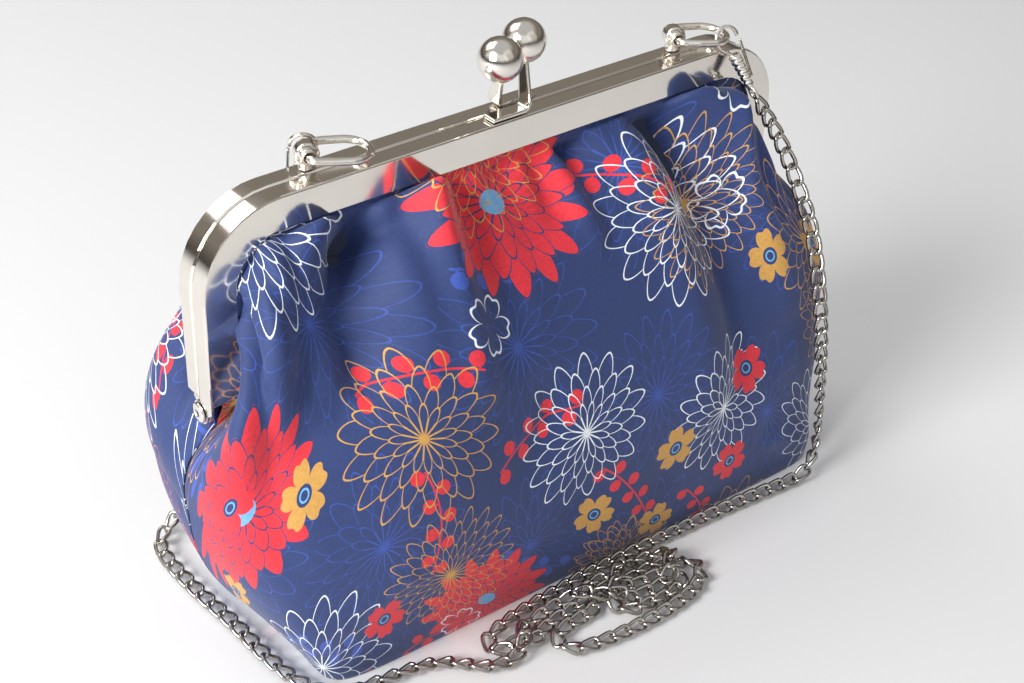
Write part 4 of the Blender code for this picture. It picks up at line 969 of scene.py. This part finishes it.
class PURSE_OT_chain(bpy.types.Operator):
    """Lay the chain strap link by link from one clip to the other"""

    bl_idname = "purse.chain"
    bl_label = "Chain"

    def execute(self, context):
        chain = context.scene.purse_chain
        route = chain_route()
        centres, length = spline_through(route, chain.pitch)
        path, _ = spline_through(route, PATH_STEP)
        points, faces = [], []
        flat = Vector((1.0, 0.3, 0.0))
        last = len(centres) - 1
        for i, centre in enumerate(centres):
            along = (centres[min(i + 1, last)] - centres[max(i - 1, 0)]).normalized()
            lies = centre.z < LYING_BELOW
            if lies:
                level = along.cross(Vector((0, 0, 1)))
                flat = flat.lerp(level * (1 if flat.dot(level) >= 0 else -1), 0.5)
            flat = (flat - along * flat.dot(along)).normalized()
            lean = chain.turn * math.sin(TWIST_STEP * i) * (0.5 if lies else 1.0)
            leaned = Matrix.Rotation(lean, 3, along) @ flat
            if 0 < i < last:
                ring, around = link_points(centre, along, leaned, chain)
                start = len(points)
                points += ring
                faces += [tuple(start + k for k in face) for face in around]
        mesh = bpy.data.meshes.new("chain_strap")
        mesh.from_pydata([tuple(p) for p in points], [], faces)
        mesh.shade_smooth()
        obj = bpy.data.objects.new("chain_strap", mesh)
        context.scene.collection.objects.link(obj)
        metal = context.scene.purse_metal
        obj.data.materials.append(plated("chain_plate", tuple(metal.chain), metal.roughness * 1.2, 0.1))
        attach(obj, "bag")
        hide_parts("chain_front", "chain_left", "chain_rear", "chain_heap")
        return {"FINISHED"}


class PURSE_OT_cloth(bpy.types.Operator):
    """Build the gathered shell and its lining"""

    bl_idname = "purse.cloth"
    bl_label = "Cloth"

    def execute(self, context):
        cloth = context.scene.purse_cloth
        look = printed_cotton("printed_cotton", cloth)
        inside = plain_cotton("lining_cloth", (0.020, 0.028, 0.060))
        for side, word, folds, seed in ((-1, "front", FRONT_FOLDS, 3), (1, "rear", REAR_FOLDS, 8)):
            creases = gathers(seed) + (FRONT_CREASES if side < 0 else ())
            grid, _, flat, _ = cloth_grid(side, cloth.columns, SHELL_ROWS, folds + creases)
            flat = flat + np.array([0.0 if side < 0 else 0.4, 0.15])
            outer = grid_object(f"{word}_cloth", grid, flat, cloth.thickness, side)
            outer.data.materials.append(look)
            lining = self.lining(f"{word}_lining_cloth", side, folds)
            lining.data.materials.append(inside)
            self.declare(outer, side, f"{word}_panel", "navy_cotton", SHELL_CUT, f"{word}_frame")
            self.declare(lining, side, f"{word}_lining", "lining_cotton", LINING_CUT, f"{word}_frame")
        return {"FINISHED"}

    def declare(self, obj, side, node, slot, cut, holder):
        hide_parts(node)
        if side < 0:
            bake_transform(obj)
        else:
            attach(obj, "bag")

    def lining(self, name, side, folds):
        """The shell's form without its creases, a little further in and looser."""
        grid, normal, flat, places = cloth_grid(side, LINING_COLUMNS, LINING_ROWS, folds)
        count = grid.shape[1]
        slack = np.array([LINING_SLACK if 1 < j < count - 2 else 0.0 for j in range(count)])
        along = smooth(SEAM_SHARE, 3 * SEAM_SHARE, np.minimum(places, 1.0 - places))
        grid = grid - normal * (PANEL_Y - LINING_Y + along[:, None] * slack[None, :])[:, :, None]
        sink = LINING_SINK * (1.0 - along[:, None]) * np.linspace(1.0, 0.0, count)[None, :]
        grid[:, :, 2] -= sink
        grid[:, :, 0] -= 0.4 * sink * np.sign(places - 0.5)[:, None]
        grid[:, :, 1] = side * np.maximum(side * grid[:, :, 1], SEAM_GAP / 2)
        grid[:, :, 2] = np.maximum(grid[:, :, 2], LINING_FLOOR)
        return grid_object(name, grid, flat, LINING_THICKNESS, side)


class PURSE_OT_metal(bpy.types.Operator):
    """Give the frame, clasp, rings and clips their polished plate"""

    bl_idname = "purse.metal"
    bl_label = "Metal and cord"

    def execute(self, context):
        metal = context.scene.purse_metal
        nickel = plated("nickel_plate", tuple(metal.nickel), metal.roughness, 0.12, 0.4 * MM, True)
        fittings = plated("fitting_plate", tuple(metal.nickel), metal.roughness * 0.7, 0.05, 0.9 * MM)
        balls = plated("ball_plate", tuple(metal.nickel), metal.roughness * 0.6, 0.04, 2.2 * MM)
        cord = paper("paper_twist")
        for node, obj in frame["nodes"].items():
            if node.endswith("_frame"):
                dress(obj, nickel)
            elif node.endswith("_ball"):
                dress(obj, balls)
            elif node.endswith("paper_cord"):
                dress(obj, cord)
            elif not node.startswith("chain") and not node.endswith(("panel", "lining")):
                dress(obj, fittings)
        return {"FINISHED"}


class PURSE_OT_stage(bpy.types.Operator):
    """Add the table, the soft light and the surroundings"""

    bl_idname = "purse.stage"
    bl_label = "Stage"

    def execute(self, context):
        scene = context.scene
        settings = scene.purse_stage
        mesh = bpy.data.meshes.new("table")
        work = bmesh.new()
        bmesh.ops.create_grid(work, x_segments=1, y_segments=1, size=4.0)
        work.to_mesh(mesh)
        work.free()
        table = bpy.data.objects.new("table", mesh)
        scene.collection.objects.link(table)
        made, _, shader, _ = new_material("table_top")
        shader.inputs["Base Color"].default_value = (*settings.table, 1.0)
        shader.inputs["Roughness"].default_value = 0.5
        table.data.materials.append(made)
        self.surroundings(scene)
        self.lamp(scene, "window", (-1.15, -0.15, 0.75), 0.55, settings.key * 4.4, (1.0, 0.98, 0.95))
        self.lamp(scene, "sky_light", (-0.4, 1.0, 1.3), 0.9, settings.key * 1.6, (1.0, 0.99, 0.97))
        self.lamp(scene, "room", (0.3, -1.4, 1.2), 1.4, settings.key * 0.5, (0.97, 0.98, 1.0))
        scene.view_settings.view_transform = "Standard"
        return {"FINISHED"}

    def lamp(self, scene, name, where, size, power, colour):
        data = bpy.data.lights.new(name, "AREA")
        data.size = size
        data.energy = power
        data.color = colour
        lamp = bpy.data.objects.new(name, data)
        scene.collection.objects.link(lamp)
        lamp.location = where
        lamp.rotation_euler = (Vector((0, 0, 0.08)) - Vector(where)).to_track_quat("-Z", "Y").to_euler()

    def surroundings(self, scene):
        """A pale room. Polished plate mirrors a duller one with a window and a bright ceiling."""
        world = bpy.data.worlds.new("room")
        world.use_nodes = True
        scene.world = world
        tree = world.node_tree
        m = Sums(tree)
        back = tree.nodes["Background"]
        where = tree.nodes.new("ShaderNodeTexCoord").outputs["Generated"]
        split = tree.nodes.new("ShaderNodeSeparateXYZ")
        tree.links.new(where, split.inputs[0])
        height = split.outputs[2]
        upward = m.ramp(height, -0.1, 0.8, 0.0, 1.0)
        room = m.pick(upward, (0.52, 0.49, 0.46, 1.0), (0.78, 0.77, 0.76, 1.0))
        wall = m.ramp(height, 0.02, 0.30, 0.0, 1.0)
        seen = m.pick(wall, (0.10, 0.085, 0.075, 1.0), (0.40, 0.355, 0.31, 1.0))
        ceiling = m.ramp(height, 0.60, 0.85, 0.0, 1.0)
        seen = m.pick(ceiling, seen, (0.95, 0.95, 0.95, 1.0))
        side = m.add(m.mul(split.outputs[0], -0.75), m.mul(split.outputs[1], -0.35))
        pane = m.both(m.more(side, 0.35), m.between(height, 0.22, 0.75))
        seen = m.pick(m.mul(pane, 0.9), seen, (1.6, 1.6, 1.6, 1.0))
        path = tree.nodes.new("ShaderNodeLightPath")
        sky = m.pick(path.outputs["Is Glossy Ray"], room, seen)
        sky = m.pick(path.outputs["Is Camera Ray"], sky, (0.80, 0.78, 0.76, 1.0))
        tree.links.new(sky, back.inputs["Color"])
        back.inputs["Strength"].default_value = 0.62


class PURSE_PT_panel(bpy.types.Panel):
    """Sizes, colours and the build buttons of the purse"""

    bl_idname = "PURSE_PT_panel"
    bl_label = "Purse"
    bl_space_type = "VIEW_3D"
    bl_region_type = "UI"
    bl_category = "Purse"

    def draw(self, context):
        layout = self.layout
        for name, group in GROUPS:
            box = layout.box()
            box.label(text=name.capitalize())
            settings = getattr(context.scene, "purse_" + name)
            for key in group.__annotations__:
                box.prop(settings, key)
        for operator in OPERATORS:
            layout.operator(operator.bl_idname)


GROUPS = (("metal", PurseMetal), ("cloth", PurseCloth), ("chain", PurseChain), ("stage", PurseStage))
OPERATORS = (PURSE_OT_camera, PURSE_OT_chain, PURSE_OT_cloth, PURSE_OT_metal, PURSE_OT_stage)


def register():
    for name, group in GROUPS:
        bpy.utils.register_class(group)
        setattr(bpy.types.Scene, "purse_" + name, PointerProperty(type=group))
    for operator in OPERATORS:
        bpy.utils.register_class(operator)
    bpy.utils.register_class(PURSE_PT_panel)


def unregister():
    bpy.utils.unregister_class(PURSE_PT_panel)
    for operator in reversed(OPERATORS):
        bpy.utils.unregister_class(operator)
    for name, group in reversed(GROUPS):
        delattr(bpy.types.Scene, "purse_" + name)
        bpy.utils.unregister_class(group)


def main():
    register()
    bpy.ops.purse.camera()
    bpy.ops.purse.chain()
    bpy.ops.purse.cloth()
    bpy.ops.purse.metal()
    bpy.ops.purse.stage()


if __name__ == "__main__":
    main()
